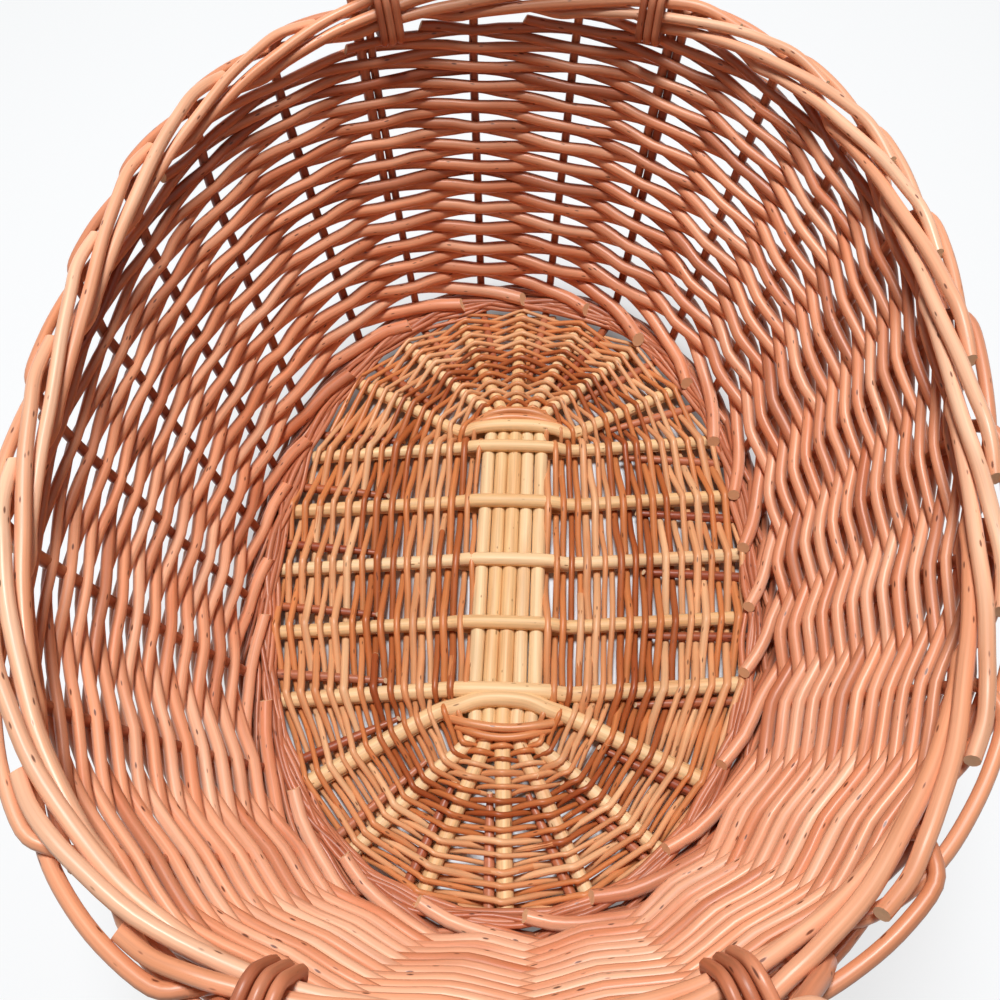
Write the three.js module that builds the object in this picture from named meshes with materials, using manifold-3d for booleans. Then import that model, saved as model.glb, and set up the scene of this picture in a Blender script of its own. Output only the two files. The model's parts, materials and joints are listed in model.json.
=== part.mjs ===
// Oval willow gathering basket: stick floor, staked and woven wall, plaited border and two end handles.
// Millimetres, +Z up. X runs across the basket, Y along it, and the basket stands on z = 0.
// Places round the basket are given as "s": s grows clockwise seen from above, by 1 for each stake, and is 0
// at the middle of the far end.
import * as THREE from 'three';
import { mergeVertices } from 'three/addons/utils/BufferGeometryUtils.js';
import Module from 'manifold-3d';

const wasm = await Module();
wasm.setup();

// Overall oval, measured on the middle of the wall's thickness
const FLOOR_LENGTH = 315;
const FLOOR_WIDTH = 230;
const RIM_LENGTH = 376;
const RIM_WIDTH = 290;
const FLOOR_SQUARENESS = 2.16;
const RIM_SQUARENESS = 2.4;
const BORDER_HEIGHT = 162;
const WALL_BELLY = 0.85;

// Rods
const CROSS_STICK_DIAMETER = 7;
const LONG_STICK_DIAMETER = 6.2;
const STAKE_DIAMETER = 4.4;
const BORDER_ROD_DIAMETER = 4.4;
const ROD_TIP_DIAMETER = 4.2;
const WALL_WEAVER_DIAMETER = 4.8;
const WEAVER_BUTT_HEIGHT = 7;
const WEAVER_TIP_DIAMETER = 2.6;
const FLOOR_WEAVER_DIAMETER = 3;
const CLEARANCE = 0.35;

// Floor
const CROSS_STICK_COUNT = 5;
const LONG_STICK_COUNT = 5;
const CROSS_STICK_SPACING = 31;
const CROSS_STICK_SKEW = 7;
const END_STICK_SETBACK = 10;
const SPLIT_HALF_THICKNESS = 3.2;
const SPLIT_TAPER = 9;
const FAN_START = 6;
const NEAR_FAN_TURN = 0.12;
const FLOOR_EYE_MARGIN = 3;
const GROUND_GAP = 0.5;

// Stakes
const BUTT_LENGTH = 46;
const STAKE_SETTING = 0.4;
const STAKE_LEAN = 0.17;
const NEAR_PLACE = 10.5;
const NEAR_REACH = 3.9;
const NEAR_FLOOR_SHIFT = 0.22;
const NEAR_BORDER_SHIFT = 0.36;
const UPSETT_BEND = 7;
const UPSETT_HEIGHT = 15;
const UPSETT_CHAMFER = 2;

// Wall
const WALL_ROWS = 26;
const ROW_CROWDING = 0.12;
const BUTT_ROWS = 1.33;
const LEG_ROOM = 1.4;

// Handles
const HANDLE_STAKES = 3;
const BOW_DIAMETER = 9;
const LEG_DIAMETER = 5;
const LEG_TIP_DIAMETER = 3.6;
const LEG_DEPTH = 85;
const HANDLE_RISE = 58;
const HANDLE_SQUARENESS = 2.5;
const WRAP_THICKNESS = 4;
const BINDING_DIAMETER = 3.2;
const BINDING_TURNS = 2;
const BINDING_SQUARENESS = 5;
const WRAP_LIFT = 2.5;

// Smoothness of the faceted rods and rings
const ROD_SIDES = 5;
const STICK_SIDES = 8;
const BOW_SIDES = 6;
const OVAL_CORNERS = 720;
const OVAL_STEPS = 48;
const ARCH_STEPS = 12;
const BINDING_STEPS = 12;
const BEND_STEPS = 2;
const TANGENT_STEP = 0.05;

// What follows from the sizes above
const STAKE_COUNT = 2 * (CROSS_STICK_COUNT + 2 + LONG_STICK_COUNT);
const LONG_STICK_REACH = (LONG_STICK_COUNT - 1) / 2;
const SPLIT_HEIGHT = LONG_STICK_DIAMETER + 2 * CLEARANCE;
const BASE_MIDDLE = GROUND_GAP + SPLIT_HALF_THICKNESS + SPLIT_HEIGHT / 2;
const BASE_THICKNESS = CROSS_STICK_DIAMETER + 2 * FLOOR_WEAVER_DIAMETER - 2 * CLEARANCE;
const WALL_HALF_THICKNESS = STAKE_DIAMETER / 2 + WALL_WEAVER_DIAMETER;
const BUNDLE_PITCH = LONG_STICK_DIAMETER + CLEARANCE;
const BUNDLE_HALF_WIDTH = LONG_STICK_REACH * BUNDLE_PITCH + LONG_STICK_DIAMETER / 2;
const END_STICK_Y = (CROSS_STICK_COUNT - 1) / 2 * CROSS_STICK_SPACING + END_STICK_SETBACK;

// Materials
const BUFF = new THREE.MeshStandardMaterial({ color: 0xb8704a, roughness: 0.5, metalness: 0 });
const BORDER_BUFF = new THREE.MeshStandardMaterial({ color: 0xd99a6c, roughness: 0.45, metalness: 0 });
const PEELED = new THREE.MeshStandardMaterial({ color: 0xe6c588, roughness: 0.55, metalness: 0 });
const FLOOR_BUFF = new THREE.MeshStandardMaterial({ color: 0xc4804e, roughness: 0.5, metalness: 0 });

// Points of a superellipse spaced evenly along its length, clockwise from the far end
function evenOval(width, length, squareness, count) {
  const fine = new THREE.CurvePath();
  const corner = (k) => {
    const angle = 2 * Math.PI * k / OVAL_CORNERS;
    const bow = (value) => Math.sign(value) * Math.abs(value) ** (2 / squareness);
    return new THREE.Vector2(width / 2 * bow(Math.sin(angle)), length / 2 * bow(Math.cos(angle)));
  };
  for (let k = 0; k < OVAL_CORNERS; k += 1) {
    fine.add(new THREE.LineCurve(corner(k), corner(k + 1)));
  }
  const points = fine.getSpacedPoints(count);
  points.pop();
  return { points, length: fine.getLength() };
}

const OVAL_FINENESS = 20;
const floorOval = evenOval(FLOOR_WIDTH, FLOOR_LENGTH, FLOOR_SQUARENESS, STAKE_COUNT * OVAL_FINENESS);
const rimOval = evenOval(RIM_WIDTH, RIM_LENGTH, RIM_SQUARENESS, STAKE_COUNT * OVAL_FINENESS);

function ovalPoint(oval, s) {
  const count = oval.points.length;
  const place = ((s / STAKE_COUNT) % 1 + 1) % 1 * count;
  const before = Math.floor(place) % count;
  return oval.points[before].clone().lerp(oval.points[(before + 1) % count], place - Math.floor(place));
}

// How far the wall has flared at a height: 0 at the floor, 1 at the border
function flare(z) {
  const share = Math.max((z - BASE_MIDDLE) / (BORDER_HEIGHT - BASE_MIDDLE), 0);
  return share ** WALL_BELLY;
}

function wallPlan(s, z) {
  return ovalPoint(floorOval, s).lerp(ovalPoint(rimOval, s), flare(z));
}

// A point of the wall: s round the basket, z above the ground, r outwards from the middle of the wall
function wall(s, z, r = 0) {
  const along = wallPlan(s + TANGENT_STEP, z).sub(wallPlan(s - TANGENT_STEP, z)).normalize();
  const plan = wallPlan(s, z).add(new THREE.Vector2(-along.y, along.x).multiplyScalar(r));
  return new THREE.Vector3(plan.x, plan.y, z);
}

function stakeSpacing(z) {
  return (floorOval.length + (rimOval.length - floorOval.length) * flare(z)) / STAKE_COUNT;
}

// A closed faceted rod along points, with a radius for each point, capped at both ends or joined into a loop
function rod(points, radii, sides, loop = false) {
  const count = points.length;
  const at = (k) => points[loop ? (k + count) % count : Math.min(Math.max(k, 0), count - 1)];
  const tangents = points.map((_, k) => at(k + 1).clone().sub(at(k - 1)).normalize());
  const across = new THREE.Vector3(1, 0, 0);
  if (Math.abs(tangents[0].x) > 0.8) {
    across.set(0, 1, 0);
  }
  across.addScaledVector(tangents[0], -across.dot(tangents[0])).normalize();
  const rings = [];
  for (let k = 0; k < count; k += 1) {
    across.addScaledVector(tangents[k], -across.dot(tangents[k])).normalize();
    const up = tangents[k].clone().cross(across);
    const ring = [];
    for (let side = 0; side < sides; side += 1) {
      const angle = 2 * Math.PI * side / sides;
      const corner = points[k].clone();
      corner.addScaledVector(across, radii[k] * Math.cos(angle));
      corner.addScaledVector(up, radii[k] * Math.sin(angle));
      ring.push(corner);
    }
    rings.push(ring);
  }
  return skin(rings, loop);
}

// The closed surface over rings of corners, each counter-clockwise as seen from the next ring
function skin(rings, loop) {
  const count = rings.length;
  const sides = rings[0].length;
  const positions = rings.flat().flatMap((corner) => [corner.x, corner.y, corner.z]);
  const index = [];
  const quad = (a, b, c, d) => index.push(a, b, c, a, c, d);
  for (let k = 0; k < (loop ? count : count - 1); k += 1) {
    const here = k * sides;
    const next = ((k + 1) % count) * sides;
    for (let side = 0; side < sides; side += 1) {
      const turn = (side + 1) % sides;
      quad(here + side, here + turn, next + turn, next + side);
    }
  }
  if (!loop) {
    const last = (count - 1) * sides;
    for (let side = 1; side < sides - 1; side += 1) {
      index.push(0, side + 1, side);
      index.push(last, last + side, last + side + 1);
    }
  }
  return faceted(positions, index);
}

function faceted(positions, index) {
  const geometry = new THREE.BufferGeometry();
  geometry.setAttribute('position', new THREE.Float32BufferAttribute(positions, 3));
  geometry.setIndex(index);
  return geometry;
}

// A closed ring round the basket from a section of [r, z] corners, counter-clockwise with r to the right
function wallRing(section) {
  const positions = [];
  const index = [];
  const corners = section.length;
  for (let k = 0; k < OVAL_STEPS; k += 1) {
    for (const [r, z] of section) {
      const p = wall(k * STAKE_COUNT / OVAL_STEPS, z, r);
      positions.push(p.x, p.y, p.z);
    }
  }
  for (let k = 0; k < OVAL_STEPS; k += 1) {
    const here = k * corners;
    const next = (k + 1) % OVAL_STEPS * corners;
    for (let c = 0; c < corners; c += 1) {
      const d = (c + 1) % corners;
      index.push(here + c, next + d, next + c, here + c, here + d, next + d);
    }
  }
  return faceted(positions, index);
}

// Joining and cutting
function solid(geometry) {
  const bare = geometry.clone();
  bare.deleteAttribute('normal');
  bare.deleteAttribute('uv');
  const merged = mergeVertices(bare, 1e-4);
  const vertProperties = new Float32Array(merged.attributes.position.array);
  const triVerts = new Uint32Array(merged.index.array);
  return new wasm.Manifold(new wasm.Mesh({ numProp: 3, vertProperties, triVerts }));
}

function shape(body) {
  const mesh = body.getMesh();
  return faceted(Array.from(mesh.vertProperties), Array.from(mesh.triVerts));
}

function cut(geometry, tools) {
  return shape(tools.reduce((body, tool) => body.subtract(solid(tool)), solid(geometry)));
}

function join(geometries) {
  return shape(geometries.map(solid).reduce((body, next) => body.add(next)));
}

const basket = new THREE.Group();

function place(name, geometry, material) {
  const mesh = new THREE.Mesh(geometry, material);
  mesh.name = name;
  mesh.geometry.computeVertexNormals();
  basket.add(mesh);
  return mesh;
}

const even = (points, radius) => points.map(() => radius);

// Floor sticks. A stick's outer stretch, from root to tip, is the rib that a stake's butt lies against.
const FLOOR_EDGE = WALL_HALF_THICKNESS + 2 * CLEARANCE;
const floorPoint = (x, y) => new THREE.Vector3(x, y, BASE_MIDDLE);
const floorEdge = (s) => wall(s, BASE_MIDDLE, -FLOOR_EDGE);
const ribs = new Array(STAKE_COUNT);
const stickTunnels = [];

// The channel of a floor stick, run on past the stick's tip so that it opens through the floor's edge
function stickTunnel(points, radius) {
  const last = points.length - 1;
  const past = (end, before) => {
    const out = points[end].clone().sub(points[before]).normalize();
    return points[end].clone().addScaledVector(out, FLOOR_EDGE);
  };
  const longer = [past(0, 1), ...points.slice(1, last), past(last, last - 1)];
  stickTunnels.push(rod(longer, even(longer, radius + CLEARANCE), STICK_SIDES));
}

const wrapped = (s) => THREE.MathUtils.euclideanModulo(s, STAKE_COUNT);

function setRib(index, s, root, tip, radius) {
  ribs[wrapped(index)] = { s: wrapped(s), root, tip, radius };
}

// Where a straight cross stick meets the right half of the floor's edge, as s, found by halving
function edgeAtY(y) {
  let low = 0;
  let high = STAKE_COUNT / 2;
  for (let k = 0; k < 40; k += 1) {
    const middle = (low + high) / 2;
    if (floorEdge(middle).y > y) {
      low = middle;
    } else {
      high = middle;
    }
  }
  return low;
}

// A solid along X at the given y, from an outline in x and z and an opening through it
function acrossFloor(y, outline, width) {
  const block = new THREE.ExtrudeGeometry(outline, { depth: width, bevelEnabled: false });
  block.rotateX(Math.PI / 2);
  block.translate(0, y + width / 2, BASE_MIDDLE);
  return block;
}

// The middle of a cross stick is split and opened over and under the long sticks
const SPLIT_INNER = BUNDLE_HALF_WIDTH + CLEARANCE;
const SPLIT_OUTER = SPLIT_INNER + SPLIT_TAPER;
const SPLIT_BITE = SPLIT_TAPER / 3;

function splitOutline(grow) {
  const top = SPLIT_HEIGHT / 2 + SPLIT_HALF_THICKNESS + grow;
  const flank = CROSS_STICK_DIAMETER / 2 + grow;
  const outline = new THREE.Shape();
  outline.moveTo(-SPLIT_OUTER - grow, -flank);
  outline.lineTo(-SPLIT_INNER, -top);
  outline.lineTo(SPLIT_INNER, -top);
  outline.lineTo(SPLIT_OUTER + grow, -flank);
  outline.lineTo(SPLIT_OUTER + grow, flank);
  outline.lineTo(SPLIT_INNER, top);
  outline.lineTo(-SPLIT_INNER, top);
  outline.lineTo(-SPLIT_OUTER - grow, flank);
  outline.closePath();
  return outline;
}

function splitSlot() {
  const slot = new THREE.Path();
  slot.moveTo(-SPLIT_INNER, -SPLIT_HEIGHT / 2);
  slot.lineTo(-SPLIT_INNER, SPLIT_HEIGHT / 2);
  slot.lineTo(SPLIT_INNER, SPLIT_HEIGHT / 2);
  slot.lineTo(SPLIT_INNER, -SPLIT_HEIGHT / 2);
  slot.closePath();
  return slot;
}

function crossStick(name, y, tips) {
  const outline = splitOutline(0);
  outline.holes.push(splitSlot());
  let body = solid(acrossFloor(y, outline, CROSS_STICK_DIAMETER));
  stickTunnels.push(acrossFloor(y, splitOutline(CLEARANCE), CROSS_STICK_DIAMETER + 2 * CLEARANCE));
  const radius = CROSS_STICK_DIAMETER / 2;
  for (const tip of tips) {
    const side = Math.sign(tip.x);
    const start = floorPoint(side * (SPLIT_OUTER - SPLIT_BITE), y);
    const points = [start, floorPoint(side * (SPLIT_OUTER + SPLIT_BITE), y), tip];
    body = body.add(solid(rod(points, even(points, radius), STICK_SIDES)));
    stickTunnel(points, radius);
  }
  place(name, shape(body), PEELED);
}

// The straight cross sticks lie a little askew: each right end is further along the basket than its left end
for (let j = 0; j < CROSS_STICK_COUNT; j += 1) {
  const y = ((CROSS_STICK_COUNT - 1) / 2 - j) * CROSS_STICK_SPACING;
  const index = LONG_STICK_REACH + 2 + j;
  const tips = [1, -1].map((side) => {
    const s = side * edgeAtY(y + side * CROSS_STICK_SKEW);
    const root = floorPoint(side * (SPLIT_OUTER + SPLIT_BITE), y);
    const tip = floorEdge(s);
    setRib(side * index, s, root, tip, CROSS_STICK_DIAMETER / 2);
    return tip;
  });
  crossStick(`cross_stick_${j + 1}`, y, tips);
}

// The end sticks are bent into the fans. The near fan is turned a little to the right.
for (const [name, end] of [['far', 1], ['near', -1]]) {
  const y = end * END_STICK_Y;
  const index = end > 0 ? LONG_STICK_REACH + 1 : STAKE_COUNT / 2 - LONG_STICK_REACH - 1;
  const turn = end > 0 ? 0 : NEAR_FAN_TURN;
  const tips = [1, -1].map((side) => {
    const s = side * index - turn;
    const tip = floorEdge(s);
    setRib(side * index, s, floorPoint(side * (SPLIT_OUTER + SPLIT_BITE), y), tip, CROSS_STICK_DIAMETER / 2);
    return tip;
  });
  crossStick(`end_stick_${name}`, y, tips);
}

for (let k = -LONG_STICK_REACH; k <= LONG_STICK_REACH; k += 1) {
  const x = k * BUNDLE_PITCH;
  const radius = LONG_STICK_DIAMETER / 2;
  const fan = END_STICK_Y + CROSS_STICK_DIAMETER / 2 + FAN_START;
  const farTip = floorEdge(k);
  const nearIndex = STAKE_COUNT / 2 - k;
  const nearTip = floorEdge(nearIndex - NEAR_FAN_TURN);
  setRib(k, k, floorPoint(x, fan), farTip, radius);
  setRib(nearIndex, nearIndex - NEAR_FAN_TURN, floorPoint(x, -fan), nearTip, radius);
  const points = [nearTip, floorPoint(x, -fan), floorPoint(x, fan), farTip];
  stickTunnel(points, radius);
  const name = `long_stick_${k + LONG_STICK_REACH + 1}`;
  place(name, rod(points, even(points, radius), STICK_SIDES), PEELED);
}

// Border lanes. Each stake's top leans out past the next stake, dives in under that one's top, then climbs
// the inner side and ends on top. Each row is [stakes travelled, side of the lane, r, height], the last two
// in rod diameters.
const BORDER_LANES = [
  [0.00, 0, 0.00, -2.30],
  [0.02, 0, 0.05, -0.80],
  [0.10, 0, 0.35, 0.35],
  [0.24, 1, -0.02, 0.62],
  [0.55, 1, 0.10, 0.42],
  [0.85, 1, 0.10, 0.02],
  [1.10, 1, 0.06, -0.45],
  [1.34, 1, -0.30, -0.85],
  [1.60, 0, -0.10, -1.05],
  [1.84, -1, 0.00, -0.95],
  [2.60, -1, -0.32, -0.03],
  [3.00, -1, -0.36, 0.36],
  [3.50, -1, -0.12, 0.90],
  [3.90, -1, 0.00, 1.27],
  [4.34, 0, -0.25, 1.15],
  [4.64, 0, 0.10, 0.70],
];
// How far the lanes reach, in rod diameters
const LANES_UP = 1.9;
const LANES_DOWN = 1.6;
const LANES_IN = 0.4;
const LANES_OUT = 0.15;
const LANE_HALF_WIDTH = (LEG_DIAMETER + BORDER_ROD_DIAMETER) / 2 + CLEARANCE;
const BORDER_TOP = BORDER_HEIGHT + LANES_UP * BORDER_ROD_DIAMETER;
const BORDER_BOTTOM = BORDER_HEIGHT - LANES_DOWN * BORDER_ROD_DIAMETER;
const SIDING_TOP = BORDER_BOTTOM - BINDING_DIAMETER - 2 * CLEARANCE;
const SIDING_BOTTOM = UPSETT_HEIGHT + CLEARANCE;
const SIDING_MIDDLE = (SIDING_BOTTOM + SIDING_TOP) / 2;

// How much a place belongs to the near right of the basket, where stakes stand closer to their ribs: 0 to 1
function nearness(place) {
  const half = STAKE_COUNT / 2;
  const away = THREE.MathUtils.euclideanModulo(place - NEAR_PLACE + half, STAKE_COUNT) - half;
  return 1 / (1 + (away / NEAR_REACH) ** 4);
}

// Where a stake, or a place between stakes, is along the border
function borderS(place) {
  return place + STAKE_SETTING + STAKE_LEAN - NEAR_BORDER_SHIFT * nearness(place);
}

// A stake stands a little clockwise of its rib and leans as it rises
function stakeS(index, z) {
  const foot = ribs[index].s + STAKE_SETTING - NEAR_FLOOR_SHIFT * nearness(index);
  return THREE.MathUtils.lerp(foot, borderS(index), flare(z));
}

// The stretch of a stake from its butt to the top of the wall
function stakeStem(index) {
  const { root, tip, radius } = ribs[index];
  const out = tip.clone().sub(root).normalize();
  const beside = new THREE.Vector3(out.y, -out.x, 0);
  const butt = tip.clone().addScaledVector(out, -BUTT_LENGTH);
  butt.addScaledVector(beside, radius + STAKE_DIAMETER / 2 + CLEARANCE);
  const s = stakeS(index, BASE_MIDDLE);
  const start = wall(s, BASE_MIDDLE, -UPSETT_BEND);
  const corner = wall(s, BASE_MIDDLE);
  const end = wall(stakeS(index, BASE_MIDDLE + UPSETT_BEND), BASE_MIDDLE + UPSETT_BEND);
  const bend = new THREE.QuadraticBezierCurve3(start, corner, end).getPoints(BEND_STEPS);
  return [butt, ...bend, wall(stakeS(index, SIDING_MIDDLE), SIDING_MIDDLE)];
}

function borderRun(index) {
  return BORDER_LANES.map(([travel, side, r, height]) => {
    const z = BORDER_HEIGHT + height * BORDER_ROD_DIAMETER;
    return wall(borderS(index + travel), z, side * LANE_HALF_WIDTH + r * BORDER_ROD_DIAMETER);
  });
}

const stakeTunnels = [];
for (let index = 0; index < STAKE_COUNT; index += 1) {
  const stem = stakeStem(index);
  const run = borderRun(index);
  const taper = (k) => THREE.MathUtils.lerp(BORDER_ROD_DIAMETER, ROD_TIP_DIAMETER, k / (run.length - 1)) / 2;
  const radii = [...even(stem, STAKE_DIAMETER / 2), ...run.map((_, k) => taper(k))];
  const number = String(index + 1).padStart(2, '0');
  place(`stake_${number}`, rod([...stem, ...run], radii, ROD_SIDES), BORDER_BUFF);
  const channel = [...stem, ...run.slice(0, 3)];
  stakeTunnels.push(rod(channel, even(channel, STAKE_DIAMETER / 2 + CLEARANCE), ROD_SIDES));
}

// Handles. A bow's legs stand just before a stake, between the inner and outer lanes of the border.
const LEG_OFFSET = (LEG_DIAMETER + STAKE_DIAMETER) / 2 + CLEARANCE;
const LEG_TOP = BORDER_TOP + BINDING_DIAMETER + CLEARANCE + WRAP_LIFT;
const legStakes = [];

function legPoint(index, z) {
  return wall(stakeS(index, z) - LEG_OFFSET / stakeSpacing(z), z);
}

function bowArch(left, right, lean) {
  const middle = left.clone().add(right).multiplyScalar(0.5);
  const half = right.clone().sub(left).multiplyScalar(0.5);
  const bow = (value) => Math.sign(value) * Math.abs(value) ** (2 / HANDLE_SQUARENESS);
  const arch = [];
  for (let k = 0; k <= ARCH_STEPS; k += 1) {
    const angle = Math.PI * k / ARCH_STEPS;
    const p = middle.clone().addScaledVector(half, -bow(Math.cos(angle)));
    arch.push(p.addScaledVector(lean, HANDLE_RISE * bow(Math.sin(angle))));
  }
  return arch;
}

function leg(index) {
  const heights = [BORDER_HEIGHT - LEG_DEPTH, BORDER_HEIGHT - LEG_DEPTH / 2, BORDER_HEIGHT];
  return heights.map((z) => legPoint(index, z));
}

// One turn round the border, in the plane across it at s
function bindingTurn(s) {
  const reach = BINDING_DIAMETER / 2 + CLEARANCE;
  const laneEdge = LANE_HALF_WIDTH + BORDER_ROD_DIAMETER / 2 + reach;
  const inner = -laneEdge - LANES_IN * BORDER_ROD_DIAMETER;
  const outer = laneEdge + LANES_OUT * BORDER_ROD_DIAMETER;
  const low = BORDER_BOTTOM - reach;
  const high = BORDER_TOP + reach;
  const bow = (value) => Math.sign(value) * Math.abs(value) ** (2 / BINDING_SQUARENESS);
  const points = [];
  for (let k = 0; k < BINDING_STEPS; k += 1) {
    const angle = 2 * Math.PI * (k + 0.5) / BINDING_STEPS;
    const r = (inner + outer) / 2 + (outer - inner) / 2 * bow(Math.cos(angle));
    const z = (low + high) / 2 + (high - low) / 2 * bow(Math.sin(angle));
    points.push(wall(s, z, r));
  }
  return rod(points, even(points, BINDING_DIAMETER / 2), ROD_SIDES, true);
}

for (const [name, centre] of [['far', 0], ['near', STAKE_COUNT / 2]]) {
  const first = (centre - (HANDLE_STAKES + 1) / 2 + STAKE_COUNT) % STAKE_COUNT;
  const second = (first + HANDLE_STAKES) % STAKE_COUNT;
  const left = legPoint(first, LEG_TOP);
  const right = legPoint(second, LEG_TOP);
  const lean = wall(centre, BORDER_HEIGHT).sub(wall(centre, BORDER_HEIGHT - LEG_DEPTH)).normalize();
  const arch = bowArch(left, right, lean);
  const path = [...leg(first), ...arch, ...leg(second).reverse()];
  const legRadii = [LEG_TIP_DIAMETER / 2, LEG_DIAMETER / 2, LEG_DIAMETER / 2];
  const archRadii = arch.map((_, k) => (k === 0 || k === ARCH_STEPS ? LEG_DIAMETER : BOW_DIAMETER) / 2);
  const radii = [...legRadii, ...archRadii, ...legRadii.slice().reverse()];
  place(`${name}_handle_bow`, rod(path, radii, BOW_SIDES), BUFF);
  legStakes.push(first, second);
  const sleeve = rod(arch, even(arch, BOW_DIAMETER / 2 + CLEARANCE + WRAP_THICKNESS), STICK_SIDES);
  const bore = rod(path, radii.map((radius) => radius + CLEARANCE), BOW_SIDES);
  place(`${name}_handle_wrap`, cut(sleeve, [bore]), BUFF);
  let number = 1;
  for (const [side, inward] of [[first, 1], [second, -1]]) {
    const spacing = stakeSpacing(BORDER_HEIGHT);
    const stake = stakeS(side, BORDER_HEIGHT);
    const legEdge = inward > 0 ? stake : stake - LEG_OFFSET / spacing;
    const clear = (Math.max(LEG_DIAMETER, BORDER_ROD_DIAMETER) + BINDING_DIAMETER) / 2 + 2 * CLEARANCE;
    for (let turn = 0; turn < BINDING_TURNS; turn += 1) {
      const away = clear + turn * (BINDING_DIAMETER + 2 * CLEARANCE);
      place(`${name}_handle_binding_${number}`, bindingTurn(legEdge + inward * away / spacing), BUFF);
      number += 1;
    }
  }
}

// Woven solids, with channels for the rods that they hold
const eyeHalfWidth = BUNDLE_HALF_WIDTH + FLOOR_EYE_MARGIN;
const eyeHalfLength = END_STICK_Y + CROSS_STICK_DIAMETER / 2 + FLOOR_EYE_MARGIN;
const floorOutline = new THREE.Shape();
const edgeCorners = Array.from({ length: OVAL_STEPS }, (_, k) => floorEdge(-k * STAKE_COUNT / OVAL_STEPS));
floorOutline.setFromPoints(edgeCorners.map((p) => new THREE.Vector2(p.x, p.y)));
const floorEye = new THREE.Path();
floorEye.moveTo(-eyeHalfWidth, -eyeHalfLength);
floorEye.lineTo(-eyeHalfWidth, eyeHalfLength);
floorEye.lineTo(eyeHalfWidth, eyeHalfLength);
floorEye.lineTo(eyeHalfWidth, -eyeHalfLength);
floorEye.closePath();
floorOutline.holes.push(floorEye);
const floorPlate = new THREE.ExtrudeGeometry(floorOutline, { depth: BASE_THICKNESS, bevelEnabled: false });
floorPlate.translate(0, 0, BASE_MIDDLE - BASE_THICKNESS / 2);
place('base_weave', cut(floorPlate, [...stickTunnels, ...stakeTunnels]), FLOOR_BUFF);

const edge = WALL_HALF_THICKNESS;
const upsettSection = [
  [-edge, UPSETT_CHAMFER],
  [-edge + UPSETT_CHAMFER, 0],
  [edge - UPSETT_CHAMFER, 0],
  [edge, UPSETT_CHAMFER],
  [edge, UPSETT_HEIGHT],
  [-edge, UPSETT_HEIGHT],
];
place('upsett_wale', cut(wallRing(upsettSection), stakeTunnels), BUFF);

// The wall, a French rand: one rod for each stake, in front of one stake and behind the next, and a row
// higher at each. Rods taper, so the rows crowd together towards the border, and every other tip ends a row
// lower. A rod is a diamond in section, and the thick butts cross close enough to join all rods into one.
const BUTT_REACH = Math.max(WEAVER_BUTT_HEIGHT, BUTT_ROWS * (SIDING_TOP - SIDING_BOTTOM) / WALL_ROWS) / 2;
const FIRST_ROW = SIDING_BOTTOM + BUTT_REACH;
const LAST_ROW = SIDING_TOP - WEAVER_TIP_DIAMETER / 2;

function rowHeight(row) {
  const share = row / WALL_ROWS;
  const rise = (1 + ROW_CROWDING) * share - ROW_CROWDING * share ** 5;
  return THREE.MathUtils.lerp(FIRST_ROW, LAST_ROW, rise);
}

// The middle of a stake where it passes a height in the wall
function stakeAt(index, z) {
  const line = [...stakeStem(index).slice(-2), borderRun(index)[0]];
  const k = z < line[1].z ? 0 : 1;
  return line[k].clone().lerp(line[k + 1], (z - line[k].z) / (line[k + 1].z - line[k].z));
}

function wallWeaver(first) {
  const rings = [];
  const last = WALL_ROWS - first % 2;
  for (let row = 0; row <= last; row += 1) {
    const index = wrapped(first - row);
    const z = rowHeight(row);
    const s = stakeS(index, z);
    const outward = wall(s, z, 1).sub(wall(s, z));
    const taper = (row / WALL_ROWS) ** 3;
    const depth = THREE.MathUtils.lerp(WALL_WEAVER_DIAMETER, WEAVER_TIP_DIAMETER, taper) / 2;
    const pitch = rowHeight(row + 0.5) - rowHeight(row - 0.5);
    const height = row < 2 ? BUTT_REACH : (pitch - CLEARANCE) / 2;
    const middle = stakeAt(index, z);
    let room = STAKE_DIAMETER / 2 + CLEARANCE;
    if (legStakes.includes(index) && z > BORDER_HEIGHT - LEG_DEPTH - LEG_DIAMETER) {
      middle.lerp(legPoint(index, z), 0.5);
      room = LEG_DIAMETER / 2 + CLEARANCE + LEG_ROOM;
    }
    middle.addScaledVector(outward, (row % 2 === 0 ? -1 : 1) * (room + depth));
    const upward = new THREE.Vector3(0, 0, 1);
    const corner = (way, reach) => middle.clone().addScaledVector(way, reach);
    rings.push([
      corner(upward, height),
      corner(outward, depth),
      corner(upward, -height),
      corner(outward, -depth),
    ]);
  }
  return skin(rings, false);
}

const weavers = Array.from({ length: STAKE_COUNT }, (_, index) => wallWeaver(index));
place('siding_weave', join(weavers), BUFF);

export default basket;
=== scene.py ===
# %% [markdown]
# Willow gathering basket. The real basket is nothing but rods: no nail, glue or cloth holds it. So every
# visible piece is made the same way, as paths and rods swept along them, and the care goes into the
# paths. The frame is the basket's measured model, which is loaded first and never moved.

# %% Load the frame
import json
import math

import bpy
import numpy as np
from mathutils import Matrix, Vector

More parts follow.
